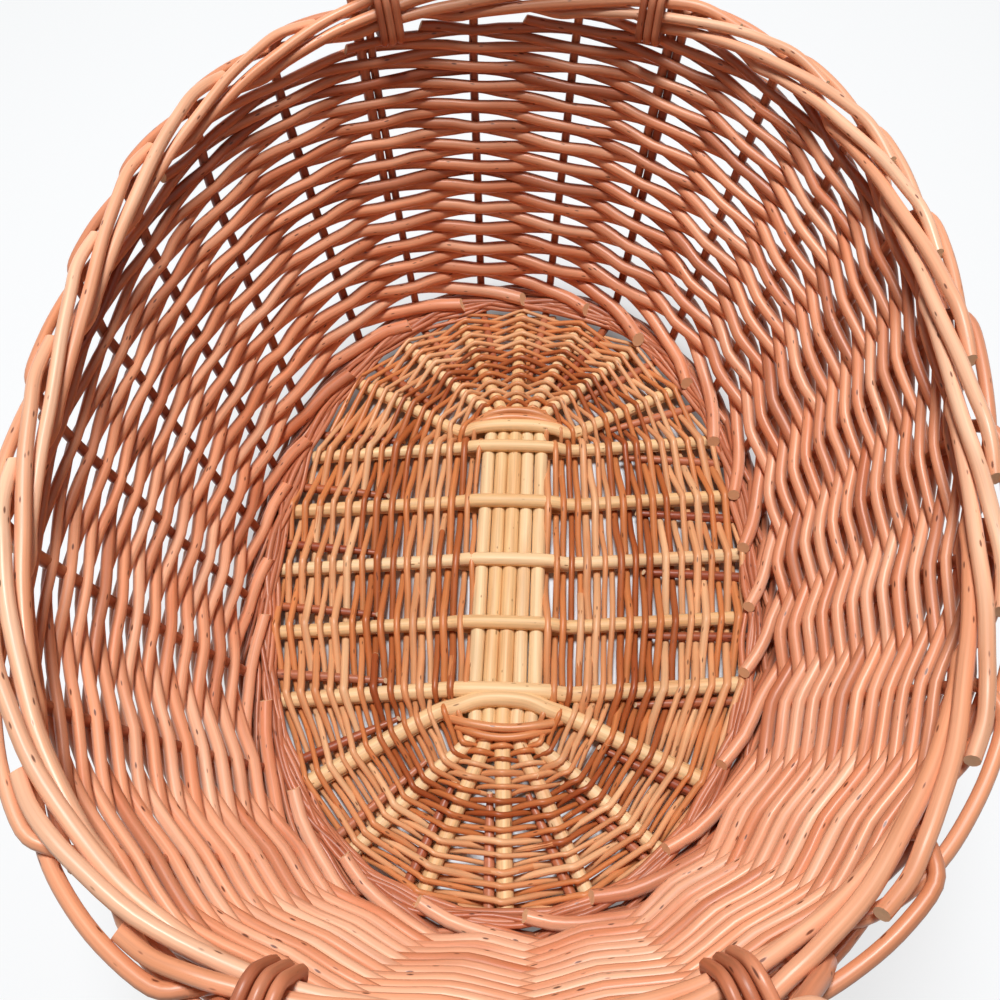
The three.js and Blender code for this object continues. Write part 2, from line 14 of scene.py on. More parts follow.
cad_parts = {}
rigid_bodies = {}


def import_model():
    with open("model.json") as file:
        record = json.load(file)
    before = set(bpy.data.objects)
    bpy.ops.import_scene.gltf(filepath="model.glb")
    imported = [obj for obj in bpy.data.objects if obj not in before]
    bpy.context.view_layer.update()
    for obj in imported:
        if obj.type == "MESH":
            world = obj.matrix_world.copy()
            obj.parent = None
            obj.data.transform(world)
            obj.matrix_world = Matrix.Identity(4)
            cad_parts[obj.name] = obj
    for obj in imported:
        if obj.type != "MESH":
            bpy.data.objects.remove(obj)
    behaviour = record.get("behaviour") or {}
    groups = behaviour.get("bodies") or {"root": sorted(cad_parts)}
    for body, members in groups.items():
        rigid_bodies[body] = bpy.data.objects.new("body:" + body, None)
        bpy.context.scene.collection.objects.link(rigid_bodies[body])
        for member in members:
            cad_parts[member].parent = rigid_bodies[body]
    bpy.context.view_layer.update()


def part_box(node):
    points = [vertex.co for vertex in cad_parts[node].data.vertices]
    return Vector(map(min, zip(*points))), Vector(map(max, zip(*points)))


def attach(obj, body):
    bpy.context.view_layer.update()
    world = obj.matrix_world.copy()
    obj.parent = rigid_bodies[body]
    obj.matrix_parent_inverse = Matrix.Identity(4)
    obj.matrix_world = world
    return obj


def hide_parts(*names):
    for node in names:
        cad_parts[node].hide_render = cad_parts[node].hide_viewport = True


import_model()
in_scene = bpy.context.scene.collection.objects

# %% [markdown]
# The shape that all rods follow. The wall is an oval at the floor that grows into a larger, squarer oval
# at the border. Rods could be snapped to a mesh of it, but a formula is easier to follow round and up: s
# is the place round the basket, 1 for each of the 24 stakes, clockwise from the far end, z is the height
# and r is how far out of the wall's middle a point lies. Sizes are in millimetres until a mesh is made.

# %% The wall as a formula
STAKE_COUNT = 24
FLOOR_SIZE = (230.0, 315.0)
RIM_SIZE = (290.0, 376.0)
FLOOR_SQUARENESS = 2.16
RIM_SQUARENESS = 2.4
BASE_MIDDLE = 7.15
BORDER_HEIGHT = 162.0
WALL_BELLY = 0.85
SLOPE_STEP = 0.05


def unit(vectors):
    """The same directions, each 1 long."""
    return vectors / np.linalg.norm(vectors, axis=-1, keepdims=True)


def mix(low, high, share):
    """low where the share is 0, high where it is 1."""
    return low + (high - low) * share


def squared(value, squareness):
    """A sine or cosine made into a superellipse's: 2 leaves a circle, more fills its corners."""
    return np.sign(value) * np.abs(value) ** (2 / squareness)


def even_oval(size, squareness, steps=1440):
    """A superellipse as x and y over s, so that equal steps of s are equal lengths of its edge."""
    angle = np.linspace(0, 2 * np.pi, steps + 1)
    x = size[0] / 2 * squared(np.sin(angle), squareness)
    y = size[1] / 2 * squared(np.cos(angle), squareness)
    length = np.concatenate([[0], np.cumsum(np.hypot(np.diff(x), np.diff(y)))])
    return {"s": STAKE_COUNT * length / length[-1], "x": x, "y": y, "length": length[-1]}


floor_oval = even_oval(FLOOR_SIZE, FLOOR_SQUARENESS)
rim_oval = even_oval(RIM_SIZE, RIM_SQUARENESS)


def flare(z):
    """0 at the floor, 1 at the border."""
    share = (np.asarray(z, float) - BASE_MIDDLE) / (BORDER_HEIGHT - BASE_MIDDLE)
    return np.maximum(share, 0) ** WALL_BELLY


def wall_plan(s, z):
    """x and y of the wall's middle."""
    turn = np.mod(s, STAKE_COUNT)
    columns = []
    for axis in ("x", "y"):
        at_floor = np.interp(turn, floor_oval["s"], floor_oval[axis])
        at_rim = np.interp(turn, rim_oval["s"], rim_oval[axis])
        columns.append(mix(at_floor, at_rim, flare(z)))
    return np.stack(columns, axis=-1)


def wall(s, z, r=0.0):
    """The point at s round the basket, z above the ground and r outwards from the middle of the wall."""
    s, z, r = np.broadcast_arrays(*(np.asarray(value, float) for value in (s, z, r)))
    along = unit(wall_plan(s + SLOPE_STEP, z) - wall_plan(s - SLOPE_STEP, z))
    outward = np.stack([-along[..., 1], along[..., 0]], axis=-1)
    return np.concatenate([wall_plan(s, z) + outward * r[..., None], z[..., None]], axis=-1)


siding_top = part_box("siding_weave")[1]
wall_reach = wall(0, siding_top.z * 1000)[1]
print("wall at the siding's top reaches y", round(wall_reach, 1), "mm of", round(siding_top.y * 1000, 1))

# %% [markdown]
# Willow as a finish. The rods were boiled in their bark and then peeled, which stains the wood from pale
# tan to red-brown: basket makers call that buff. Peeled wood has a satin skin, long fine fibres, small
# dark scars where buds sat, and pale fibrous cut ends. A photo texture would repeat on so many rods, so
# the pattern is drawn from how far along its rod a point is, and where round it.

# %% Colours, and one function that adds a node
MM = 0.001
MATH, VECTOR_MATH, MAP_RANGE = "ShaderNodeMath", "ShaderNodeVectorMath", "ShaderNodeMapRange"


def linear(hex_code):
    """An sRGB hex colour as the linear colour that sockets take."""
    channels = [int(hex_code[k:k + 2], 16) / 255 for k in (1, 3, 5)]
    return tuple(c / 12.92 if c <= 0.04045 else ((c + 0.055) / 1.055) ** 2.4 for c in channels) + (1.0,)


def add_node(tree, kind, inputs=(), **settings):
    """Adds one node, sets its properties, then fills its inputs in order, or by name or number.

    An input takes a value, a link from a socket, or a link from the first output of another node.
    """
    node = tree.nodes.new(kind)
    for name, value in settings.items():
        setattr(node, name, value)
    for name, value in inputs.items() if isinstance(inputs, dict) else enumerate(inputs):
        if isinstance(value, bpy.types.Node):
            value = value.outputs[0]
        if isinstance(value, bpy.types.NodeSocket):
            tree.links.new(value, node.inputs[name])
        else:
            node.inputs[name].default_value = value
    return node


def empty_tree(owner):
    """The node tree of a material or world, turned on and emptied."""
    owner.use_nodes = True
    owner.node_tree.nodes.clear()
    return owner.node_tree


print("pale buff in linear light", [round(v, 3) for v in linear("#D2946A")])

# %% [markdown]
# One function draws every willow finish, because the rods differ in colour and not in kind. Fibres are
# 1 mm wide and 45 mm long, so they read as streaks. Stains are blotches a few millimetres wide. Bud scars
# are dark dashes about 2 mm long, 10 mm apart, and specks are smaller. Roughness stays near 0.37, the
# soft sheen of peeled wood, and is a little higher in the dark streaks.

# %% Willow material
# Kind of texture, width and length of its cells in millimetres, and detail
TEXTURES = {"fibre": ("ShaderNodeTexNoise", 1.1, 45.0, 3.0),
            "blotch": ("ShaderNodeTexNoise", 7.0, 55.0, 2.0),
            "buds": ("ShaderNodeTexVoronoi", 2.6, 10.0, 0.0),
            "specks": ("ShaderNodeTexVoronoi", 4.0, 8.0, 0.0)}
# Each is the range that is read, then the range that is given for it
STAIN_RANGE = (0.48, 0.75, 0.0, 0.55)
STREAK_RANGE = (0.25, 0.75, 0.80, 1.16)
BUD_RANGE = (0.08, 0.15, 1.0, 0.0)
SPECK_RANGE = (0.05, 0.11, 0.75, 0.0)
SPECK_SHARE = 0.35
MARK_STRENGTH = 0.85
ROUGHER, SMOOTHER, CUT_ROUGHER = 0.07, 0.06, 0.3
MARK_RELIEF = -0.6
BUMP_STRENGTH, BUMP_HEIGHT = 0.35, 0.25
WOOD_IOR = 1.5
# Bare fibres break up about a fifth of the usual mirror reflection, for which this value is 0.5
SHEEN = 0.4


def willow(name, tones, stain, scar, cut, roughness=0.37, scar_share=0.85):
    """tones go from the darkest rod to the palest, and stain reddens them in blotches."""
    material = bpy.data.materials.new(name)
    tree = empty_tree(material)
    place, tone, cut_end = [
        add_node(tree, "ShaderNodeAttribute", attribute_name=stored).outputs[output]
        for stored, output in (("rod_place", "Vector"), ("tone", "Fac"), ("cut_end", "Fac"))]

    drawn = {}
    for texture, (kind, width, length, detail) in TEXTURES.items():
        scale = (1 / (width * MM), 1 / (width * MM), 1 / (length * MM))
        spot = add_node(tree, VECTOR_MATH, [place, scale], operation="MULTIPLY")
        drawn[texture] = add_node(tree, kind, {"Vector": spot, "Scale": 1.0, "Detail": detail}).outputs
    fibre = drawn["fibre"]["Fac"]

    ramp = add_node(tree, "ShaderNodeValToRGB", {"Fac": tone})
    while len(ramp.color_ramp.elements) < len(tones):
        ramp.color_ramp.elements.new(0.5)
    for k, code in enumerate(tones):
        ramp.color_ramp.elements[k].position = k / (len(tones) - 1)
        ramp.color_ramp.elements[k].color = linear(code)

    stained = add_node(tree, MAP_RANGE, [drawn["blotch"]["Fac"], *STAIN_RANGE])
    colour = add_node(tree, "ShaderNodeMix", {0: stained, 6: ramp, 7: linear(stain)},
                      data_type="RGBA").outputs[2]
    streak = add_node(tree, MAP_RANGE, [fibre, *STREAK_RANGE])
    colour = add_node(tree, VECTOR_MATH, {0: colour, 3: streak}, operation="SCALE")

    marks = []
    for texture, share, limits in (("buds", scar_share, BUD_RANGE), ("specks", SPECK_SHARE, SPECK_RANGE)):
        core = add_node(tree, MAP_RANGE, [drawn[texture]["Distance"], *limits])
        chosen = add_node(tree, MATH, [drawn[texture]["Color"], share], operation="LESS_THAN")
        marks.append(add_node(tree, MATH, [core, chosen], operation="MULTIPLY"))
    mark = add_node(tree, MATH, [marks[0], marks[1]], operation="MAXIMUM")
    mark = add_node(tree, MATH, [mark, MARK_STRENGTH], operation="MULTIPLY")
    for covered, paint_code in ((mark, scar), (cut_end, cut)):
        colour = add_node(tree, "ShaderNodeMix", {0: covered, 6: colour, 7: linear(paint_code)},
                          data_type="RGBA").outputs[2]

    rough_range = (0.3, 0.7, roughness + ROUGHER, roughness - SMOOTHER)
    rough = add_node(tree, MAP_RANGE, [fibre, *rough_range])
    rough = add_node(tree, MATH, [cut_end, CUT_ROUGHER, rough], operation="MULTIPLY_ADD")
    relief = add_node(tree, MATH, [mark, MARK_RELIEF, fibre], operation="MULTIPLY_ADD")
    bump = add_node(tree, "ShaderNodeBump",
                    {"Strength": BUMP_STRENGTH, "Distance": BUMP_HEIGHT * MM, "Height": relief})
    skin = add_node(tree, "ShaderNodeBsdfPrincipled",
                    {"Base Color": colour, "Roughness": rough, "IOR": WOOD_IOR,
                     "Specular IOR Level": SHEEN, "Normal": bump})
    add_node(tree, "ShaderNodeOutputMaterial", {"Surface": skin})
    return material


finishes = {}
finishes["wall_willow"] = willow(
    "Buff willow of the wall, boiled and peeled", ["#9C4E30", "#EAA078", "#FCD0AE"],
    "#C8683A", "#45180C", "#EEC89C")
finishes["border_willow"] = willow(
    "Pale buff willow of the border, boiled and peeled", ["#96492E", "#E69C74", "#FAD0AE"],
    "#CC7C4C", "#5A2414", "#F0D2AA")
finishes["peeled_sticks"] = willow(
    "White willow of the floor sticks, peeled green", ["#DDAE76", "#EEC892", "#F8DEB4"],
    "#D8965A", "#7A4A22", "#F8E8C4", roughness=0.5, scar_share=0.5)
finishes["floor_willow"] = willow(
    "Thin buff willow of the floor, boiled and peeled", ["#9A4A24", "#D48650", "#F4C898"],
    "#C06C34", "#5A2A14", "#F0D0A4")
print("finishes", [m.name for m in finishes.values()])

# %% [markdown]
# One Geometry Nodes tree sweeps every rod. A curve object with a bevel would be quicker to type, but it
# can't tell the finish the tone of a rod or the place along it. The tree takes bare lines, rounds them
# through their points, lets them wander as real wood does, sweeps a ring along them, cuts the ends on a
# slant and stores what the finish reads. "half" keeps the upper or lower half of a rod that was split.

# %% The rod tree: inputs, and lines that wander
GRAIN_STEP = 3.7
rods = bpy.data.node_groups.new("Willow rods", "GeometryNodeTree")
ROD_INPUTS = {"Lines": "Geometry", "Sides": "Int", "Smoothing": "Int", "Wander": "Float",
              "Wander Length": "Float", "Unevenness": "Float", "Slant": "Float", "Rod Count": "Float",
              "Longest Rod": "Float", "Seed": "Float", "Finish": "Material"}
rod_socket = {}
for socket_name, kind in ROD_INPUTS.items():
    socket = rods.interface.new_socket(socket_name, in_out="INPUT", socket_type=f"NodeSocket{kind}")
    rod_socket[socket_name] = socket.identifier
rods.interface.new_socket("Rods", in_out="OUTPUT", socket_type="NodeSocketGeometry")
given = add_node(rods, "NodeGroupInput").outputs

lines = add_node(rods, "GeometryNodeMeshToCurve", {"Mesh": given["Lines"]})
lines = add_node(rods, "GeometryNodeCurveSplineType", {"Curve": lines}, spline_type="CATMULL_ROM")
lines = add_node(rods, "GeometryNodeSetSplineResolution",
                 {"Geometry": lines, "Resolution": given["Smoothing"]})
lines = add_node(rods, "GeometryNodeResampleCurve", {"Curve": lines}, mode="EVALUATED")

rod_number, radius, half = [
    add_node(rods, "GeometryNodeInputNamedAttribute", {"Name": name}, data_type="FLOAT")
    for name in ("rod", "thickness", "half")]
spot = add_node(rods, "GeometryNodeInputPosition").outputs[0]

grain = add_node(rods, MATH, [rod_number, GRAIN_STEP, given["Seed"]], operation="MULTIPLY_ADD")
waves = add_node(rods, MATH, [1.0, given["Wander Length"]], operation="DIVIDE")
drift = add_node(rods, "ShaderNodeTexNoise",
                 {"Vector": spot, "W": grain, "Scale": waves, "Detail": 1.0}, noise_dimensions="4D")
drift_way = add_node(rods, VECTOR_MATH, [drift.outputs["Color"], (0.5, 0.5, 0.5)], operation="SUBTRACT")
drift_way = add_node(rods, VECTOR_MATH, {0: drift_way, 3: given["Wander"]}, operation="SCALE")
swell = add_node(rods, MATH, [drift.outputs["Fac"], -0.5], operation="ADD")
swell = add_node(rods, MATH, [swell, given["Unevenness"], 1.0], operation="MULTIPLY_ADD")
radius = add_node(rods, MATH, [radius, swell], operation="MULTIPLY").outputs[0]
lines = add_node(rods, "GeometryNodeSetPosition", {"Geometry": lines, "Offset": drift_way})
print("lines that wander:", len(rods.nodes), "nodes")

# %% The rod tree: sweep
kept = add_node(rods, "GeometryNodeCaptureAttribute", {"Geometry": lines})
captured = {"Centre": spot, "Way": add_node(rods, "GeometryNodeInputTangent").outputs[0],
            "Along": add_node(rods, "GeometryNodeSplineParameter").outputs["Length"],
            "Length": add_node(rods, "GeometryNodeSplineLength").outputs[0], "Radius": radius}
for item in captured:
    kept.capture_items.new("VECTOR" if item in ("Centre", "Way") else "FLOAT", item)
for item, value in captured.items():
    rods.links.new(value, kept.inputs[item])
centre, way, along, rod_length, rod_radius = [kept.outputs[item] for item in captured]
ring = add_node(rods, "GeometryNodeCurvePrimitiveCircle", {"Resolution": given["Sides"], "Radius": 1.0})
ring_kept = add_node(rods, "GeometryNodeCaptureAttribute", {"Geometry": ring})
ring_kept.capture_items.new("VECTOR", "Round")
rods.links.new(spot, ring_kept.inputs["Round"])
on_ring = ring_kept.outputs["Round"]
swept = add_node(rods, "GeometryNodeCurveToMesh",
                 {"Curve": kept, "Profile Curve": ring_kept, "Scale": rod_radius, "Fill Caps": True})
print("with the sweep:", len(rods.nodes), "nodes")

# %% The rod tree: cut ends and split sticks
SLANT_REACH = 5.0
to_end = add_node(rods, MATH, [rod_length, along], operation="SUBTRACT")
to_end = add_node(rods, MATH, [to_end, along], operation="MINIMUM")
reach = add_node(rods, MATH, [rod_radius, SLANT_REACH], operation="MULTIPLY")
lean = add_node(rods, MAP_RANGE, [to_end, 0.0, reach, given["Slant"], 0.0])
from_centre = add_node(rods, VECTOR_MATH, [spot, centre], operation="SUBTRACT")
height = add_node(rods, "ShaderNodeSeparateXYZ", [from_centre]).outputs["Z"]
middle = add_node(rods, MATH, [rod_length, 0.5], operation="MULTIPLY")
from_middle = add_node(rods, MATH, [middle, along], operation="SUBTRACT")
end_sign = add_node(rods, MATH, [from_middle], operation="SIGN")
for share in (end_sign, height):
    lean = add_node(rods, MATH, [lean, share], operation="MULTIPLY")
slanted = add_node(rods, VECTOR_MATH, {0: way, 3: lean}, operation="SCALE")
drop = height
for operation, value in (("MULTIPLY", half), ("LESS_THAN", 0.0), ("MULTIPLY", height)):
    drop = add_node(rods, MATH, [drop, value], operation=operation)
flattened = add_node(rods, "ShaderNodeCombineXYZ", {"Z": drop})
shift = add_node(rods, VECTOR_MATH, [slanted, flattened], operation="SUBTRACT")
swept = add_node(rods, "GeometryNodeSetPosition", {"Geometry": swept, "Offset": shift})
print("with cut ends:", len(rods.nodes), "nodes")

# %% The rod tree: what the finish reads
ROD_APART = 7.31
across = add_node(rods, VECTOR_MATH, {0: on_ring, 3: rod_radius}, operation="SCALE")
far_along = add_node(rods, MATH, [rod_number, ROD_APART, along], operation="MULTIPLY_ADD")
far_along = add_node(rods, "ShaderNodeCombineXYZ", {"Z": far_along})
rod_place = add_node(rods, VECTOR_MATH, [across, far_along], operation="ADD")
corners = add_node(rods, "GeometryNodeInputMeshFaceNeighbors").outputs["Vertex Count"]
cap = add_node(rods, "FunctionNodeCompare", {2: corners, 3: 4},
               data_type="INT", operation="GREATER_THAN")
print("with what the finish reads:", len(rods.nodes), "nodes")

# %% [markdown]
# A woven piece unwraps badly, because its rods hide each other. So the tree lays each rod out on a map as
# a straight strip, along the rod one way and round it the other, with a small disc for each cut end. The
# last face of a ring would run back across the strip, so corners are measured from their face's middle.

# %% The rod tree: map and output
STRIP_WIDTH, STRIP_LENGTH = 0.85, 0.94
DISC_TALL, DISC_WIDE = 0.4, 0.01
FIRST_DISC, DISC_STEP = 0.96, 0.025
END_MARGIN = 0.0005
around = add_node(rods, "ShaderNodeSeparateXYZ", [on_ring]).outputs
face_round = add_node(rods, "GeometryNodeFieldOnDomain", [on_ring],
                      domain="FACE", data_type="FLOAT_VECTOR")
face_round = add_node(rods, "ShaderNodeSeparateXYZ", [face_round]).outputs
corner_angle, face_angle = [
    add_node(rods, MATH, [at["Y"], at["X"]], operation="ARCTAN2")
    for at in (around, face_round)]
turn = corner_angle
for operation, *values in (("SUBTRACT", face_angle), ("WRAP", math.pi, -math.pi), ("ADD", face_angle),
                           ("MULTIPLY", STRIP_WIDTH / (2 * math.pi))):
    turn = add_node(rods, MATH, [turn, *values], operation=operation)
disc_y = add_node(rods, MATH, [around["Y"], DISC_TALL], operation="MULTIPLY")
strip_y = add_node(rods, "GeometryNodeSwitch", [cap, turn, disc_y], input_type="FLOAT")
for operation, value in (("ADD", rod_number), ("ADD", 0.5), ("DIVIDE", given["Rod Count"])):
    strip_y = add_node(rods, MATH, [strip_y, value], operation=operation)
strip_x = add_node(rods, MATH, [along, given["Longest Rod"]], operation="DIVIDE")
strip_x = add_node(rods, MATH, [strip_x, STRIP_LENGTH], operation="MULTIPLY")
far_cap = add_node(rods, MATH, [along, END_MARGIN], operation="GREATER_THAN")
disc_x = add_node(rods, MATH, [far_cap, DISC_STEP, FIRST_DISC], operation="MULTIPLY_ADD")
disc_x = add_node(rods, MATH, [around["X"], DISC_WIDE, disc_x], operation="MULTIPLY_ADD")
strip_x = add_node(rods, "GeometryNodeSwitch", [cap, strip_x, disc_x], input_type="FLOAT")
strip = add_node(rods, "ShaderNodeCombineXYZ", {"X": strip_x, "Y": strip_y})
stored = (("rod_place", rod_place, "FLOAT_VECTOR", "POINT"), ("cut_end", cap, "FLOAT", "FACE"),
          ("OFBake", strip, "FLOAT2", "CORNER"))
for name, value, data_type, domain in stored:
    inputs = {"Geometry": swept, "Name": name, "Value": value}
    swept = add_node(rods, "GeometryNodeStoreNamedAttribute", inputs, data_type=data_type, domain=domain)
side = add_node(rods, "FunctionNodeBooleanMath", [cap], operation="NOT")
swept = add_node(rods, "GeometryNodeSetShadeSmooth", {"Geometry": swept, "Shade Smooth": side})
for spent in ("rod", "thickness", "half"):
    swept = add_node(rods, "GeometryNodeRemoveAttribute", {"Geometry": swept, "Name": spent})
swept = add_node(rods, "GeometryNodeRealizeInstances", {"Geometry": swept})
swept = add_node(rods, "GeometryNodeSetMaterial", {"Geometry": swept, "Material": given["Finish"]})
add_node(rods, "NodeGroupOutput", [swept])
print("rod tree has", len(rods.nodes), "nodes")

# %% [markdown]
# From lines to a piece. A rod is a list of points with a thickness and a tone at each. The helper joins a
# piece's rods into one mesh of bare edges, runs the tree on it, keeps the result as a plain mesh and ties
# the piece to the frame. Every piece uses the same helper, so their code is only about where rods go.

# %% Rods to a piece
MAP_MARGIN = 1.1


def rod(points, thickness, tone, half=0.0):
    """One rod: points in millimetres, and a thickness and a tone for all of them or for each."""
    points = np.asarray(points, float)
    spread = np.ones(len(points))
    return {"points": points, "thickness": thickness * spread, "tone": tone * spread,
            "half": half * spread}


def weave(name, rod_list, slot, stands_for, sides=10, smoothing=3, wander=0.5, wander_length=40.0,
          unevenness=0.12, slant=0.35, seed=1):
    """Sweeps rods into one piece named name, which stands for the frame's nodes in stands_for."""
    mesh = bpy.data.meshes.new(name)
    counts = [len(r["points"]) for r in rod_list]
    starts = np.concatenate([[0], np.cumsum(counts)])
    edges = [(int(a) + k, int(a) + k + 1) for a, n in zip(starts, counts) for k in range(n - 1)]
    mesh.from_pydata(np.concatenate([r["points"] for r in rod_list]) * MM, edges, [])
    columns = {key: np.concatenate([r[key] for r in rod_list]) for key in ("thickness", "tone", "half")}
    columns["thickness"] = columns["thickness"] * MM / 2
    columns["rod"] = np.repeat(np.arange(len(rod_list)), counts)
    for column, values in columns.items():
        attribute = mesh.attributes.new(column, "FLOAT", "POINT")
        attribute.data.foreach_set("value", values.astype(np.float32))
    piece = bpy.data.objects.new(name, mesh)
    in_scene.link(piece)
    longest = max(np.linalg.norm(np.diff(r["points"], axis=0), axis=1).sum() for r in rod_list)
    modifier = piece.modifiers.new("Willow rods", "NODES")
    modifier.node_group = rods
    values = {"Sides": sides, "Smoothing": smoothing, "Wander": wander * MM,
              "Wander Length": wander_length * MM, "Unevenness": unevenness, "Slant": slant,
              "Rod Count": float(len(rod_list)), "Longest Rod": float(longest) * MAP_MARGIN * MM,
              "Seed": float(seed), "Finish": finishes[slot]}
    for socket_name, value in values.items():
        modifier[rod_socket[socket_name]] = value
    depsgraph = bpy.context.evaluated_depsgraph_get()
    swept_piece = piece.evaluated_get(depsgraph)
    swept_mesh = bpy.data.meshes.new_from_object(
        swept_piece, preserve_all_data_layers=True, depsgraph=depsgraph)
    piece.modifiers.remove(modifier)
    piece.data = swept_mesh
    bpy.data.meshes.remove(mesh)
    swept_mesh.name = name
    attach(piece, "root")
    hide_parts(*stands_for)
    triangles = sum(len(p.vertices) - 2 for p in swept_mesh.polygons)
    print(name, len(rod_list), "rods", triangles, "triangles")


# %% [markdown]
# The floor's sticks. Five straight cross sticks and a bent one at each end were split in the middle, and
# five long sticks were threaded through the splits and fanned out at both ends. They could be plain
# cylinders, but the split shows: the halves bow over and under the long sticks. So each cross stick is
# two half rods that part in the middle and lie together at the ends.

# %% Where the floor sticks run
CROSS_STICK_DIAMETER = 7.0
LONG_STICK_DIAMETER = 6.2
STAKE_DIAMETER = 4.3
STAKE_TOP_DIAMETER = 3.9
CROSS_STICK_SPACING = 31.0
CROSS_STICK_SKEW = 7.0
CROSS_STICK_COUNT = 5
LONG_STICK_REACH = 2
BUNDLE_PITCH = 6.55
END_STICK_Y = 72.0
SPLIT_HALF_HEIGHT = 3.45
SPLIT_INNER = 16.55
SPLIT_OUTER = SPLIT_INNER + 3
STICK_ROOT = 28.55
FAN_START = 81.5
FLOOR_EDGE = 7.7
NEAR_FAN_TURN = 0.12
EYE_X, EYE_Y = 13.0, 78.0


def floor_edge(s):
    return wall(s, BASE_MIDDLE, -FLOOR_EDGE)


edge_s = np.linspace(0, STAKE_COUNT / 2, 1200)
edge_y = floor_edge(edge_s)[:, 1]
ribs = [None] * STAKE_COUNT


def set_rib(index, s, path, radius):
    """A rib is a stick's stretch from the floor's bare middle to its tip, beside which a stake lies."""
    ribs[index % STAKE_COUNT] = {"s": s % STAKE_COUNT, "path": np.array(path), "radius": radius}


def stick_side(y, side_sign, index, s):
    """Sets the rib on one side of a cross stick and returns its tip."""
    tip = floor_edge(s)
    path = [(side_sign * x, y, BASE_MIDDLE) for x in (EYE_X, STICK_ROOT)] + [tip]
    set_rib(side_sign * index, s, path, CROSS_STICK_DIAMETER / 2)
    return tip


straight_sticks, end_sticks, long_sticks = [], [], []
for j in range(CROSS_STICK_COUNT):
    y = ((CROSS_STICK_COUNT - 1) / 2 - j) * CROSS_STICK_SPACING
    tips = {}
    for side_sign in (1, -1):
        s = side_sign * np.interp(-(y + side_sign * CROSS_STICK_SKEW), -edge_y, edge_s)
        tips[side_sign] = stick_side(y, side_sign, LONG_STICK_REACH + 2 + j, s)
    straight_sticks.append((y, tips))
for end in (1, -1):
    y = end * END_STICK_Y
    index = LONG_STICK_REACH + 1 if end > 0 else STAKE_COUNT // 2 - LONG_STICK_REACH - 1
    fan_turn = 0.0 if end > 0 else NEAR_FAN_TURN
    tips = {sign: stick_side(y, sign, index, sign * index - fan_turn) for sign in (1, -1)}
    end_sticks.append((y, tips))
for k in range(-LONG_STICK_REACH, LONG_STICK_REACH + 1):
    x = k * BUNDLE_PITCH
    half_turn = STAKE_COUNT // 2 - k
    tips = {}
    for end, index, s in ((1, k, k), (-1, half_turn, STAKE_COUNT / 2 - k - NEAR_FAN_TURN)):
        tips[end] = floor_edge(s)
        path = [(x, end * y, BASE_MIDDLE) for y in (EYE_Y, FAN_START)] + [tips[end]]
        set_rib(index, s, path, LONG_STICK_DIAMETER / 2)
    long_sticks.append((x, tips))
print("ribs", len([r for r in ribs if r]), "of", STAKE_COUNT)

# %% Floor sticks
LONG_STICK_SHARES = (1.04, 1.02, 1.12, 1.0, 1.04)
END_STICK_BOW = {END_STICK_Y: 2.0, -END_STICK_Y: 6.0}
END_STICK_SHARE = {END_STICK_Y: 0.98, -END_STICK_Y: 1.12}
# Shares of the bow and of the parting at six points across the middle of a split stick
BOWED = np.array([0, 0.4, 1, 1, 0.4, 0])
PARTED = np.array([0, 0.72, 1, 1, 0.72, 0])
rng = np.random.default_rng(11)
stick_rods = []


def between(a, b, shares):
    """Points at shares of the way from a to b."""
    return [mix(np.asarray(a), np.asarray(b), share) for share in shares]


def with_legs(tips, middle):
    """A stick's middle points, with a leg to the tip at each end."""
    first_leg = between(tips[-1], middle[0], (0.0, 0.33, 0.66))
    last_leg = between(middle[-1], tips[1], (0.34, 0.67, 1.0))
    return np.vstack([first_leg, middle, last_leg])


def split_stick(y, tips, thickness, tone):
    """Two half rods: together at the tips, parted over and under the long sticks."""
    right_x = np.array([SPLIT_INNER / 2, SPLIT_OUTER, STICK_ROOT])
    across_x = np.concatenate([-right_x[::-1], right_x])
    for side_of_split in (1, -1):
        lift = BASE_MIDDLE + side_of_split * SPLIT_HALF_HEIGHT * PARTED
        middle = np.stack([across_x, y + END_STICK_BOW.get(y, 0.0) * BOWED, lift], axis=1)
        stick_rods.append(rod(with_legs(tips, middle), thickness, tone, half=side_of_split))


for y, tips in straight_sticks:
    split_stick(y, tips, CROSS_STICK_DIAMETER * rng.uniform(0.92, 1.04), rng.uniform(0.35, 0.75))
for y, tips in end_sticks:
    split_stick(y, tips, CROSS_STICK_DIAMETER * END_STICK_SHARE[y], rng.uniform(0.45, 0.7))
for (x, tips), share in zip(long_sticks, LONG_STICK_SHARES):
    straight = [(x, y, BASE_MIDDLE) for y in np.linspace(-FAN_START, FAN_START, 9)]
    points = with_legs(tips, straight)
    stick_rods.append(rod(points, LONG_STICK_DIAMETER * share, rng.uniform(0.4, 0.85)))
stick_nodes = [f"cross_stick_{k}" for k in range(1, 6)] + ["end_stick_far", "end_stick_near"]
stick_nodes += [f"long_stick_{k}" for k in range(1, 6)]
weave("floor_sticks", stick_rods, "peeled_sticks", stick_nodes, sides=14, smoothing=5,
      wander=0.4, wander_length=45, unevenness=0.1, slant=0.15, seed=3)

# %% [markdown]
# The floor's weavers. Two thin rods start at the bare middle and go round and round, over one stick and
# under the next, always opposite to each other. Their path is a rule, worked out for every stick in turn:
# how far out the row has come, and whether it is over or under. New rods are joined in where old ones
# end, butt to butt and tip to tip, so the thickness rises and falls. At each end of the long sticks,
# three short rods tie the bundle together before the weaving starts.

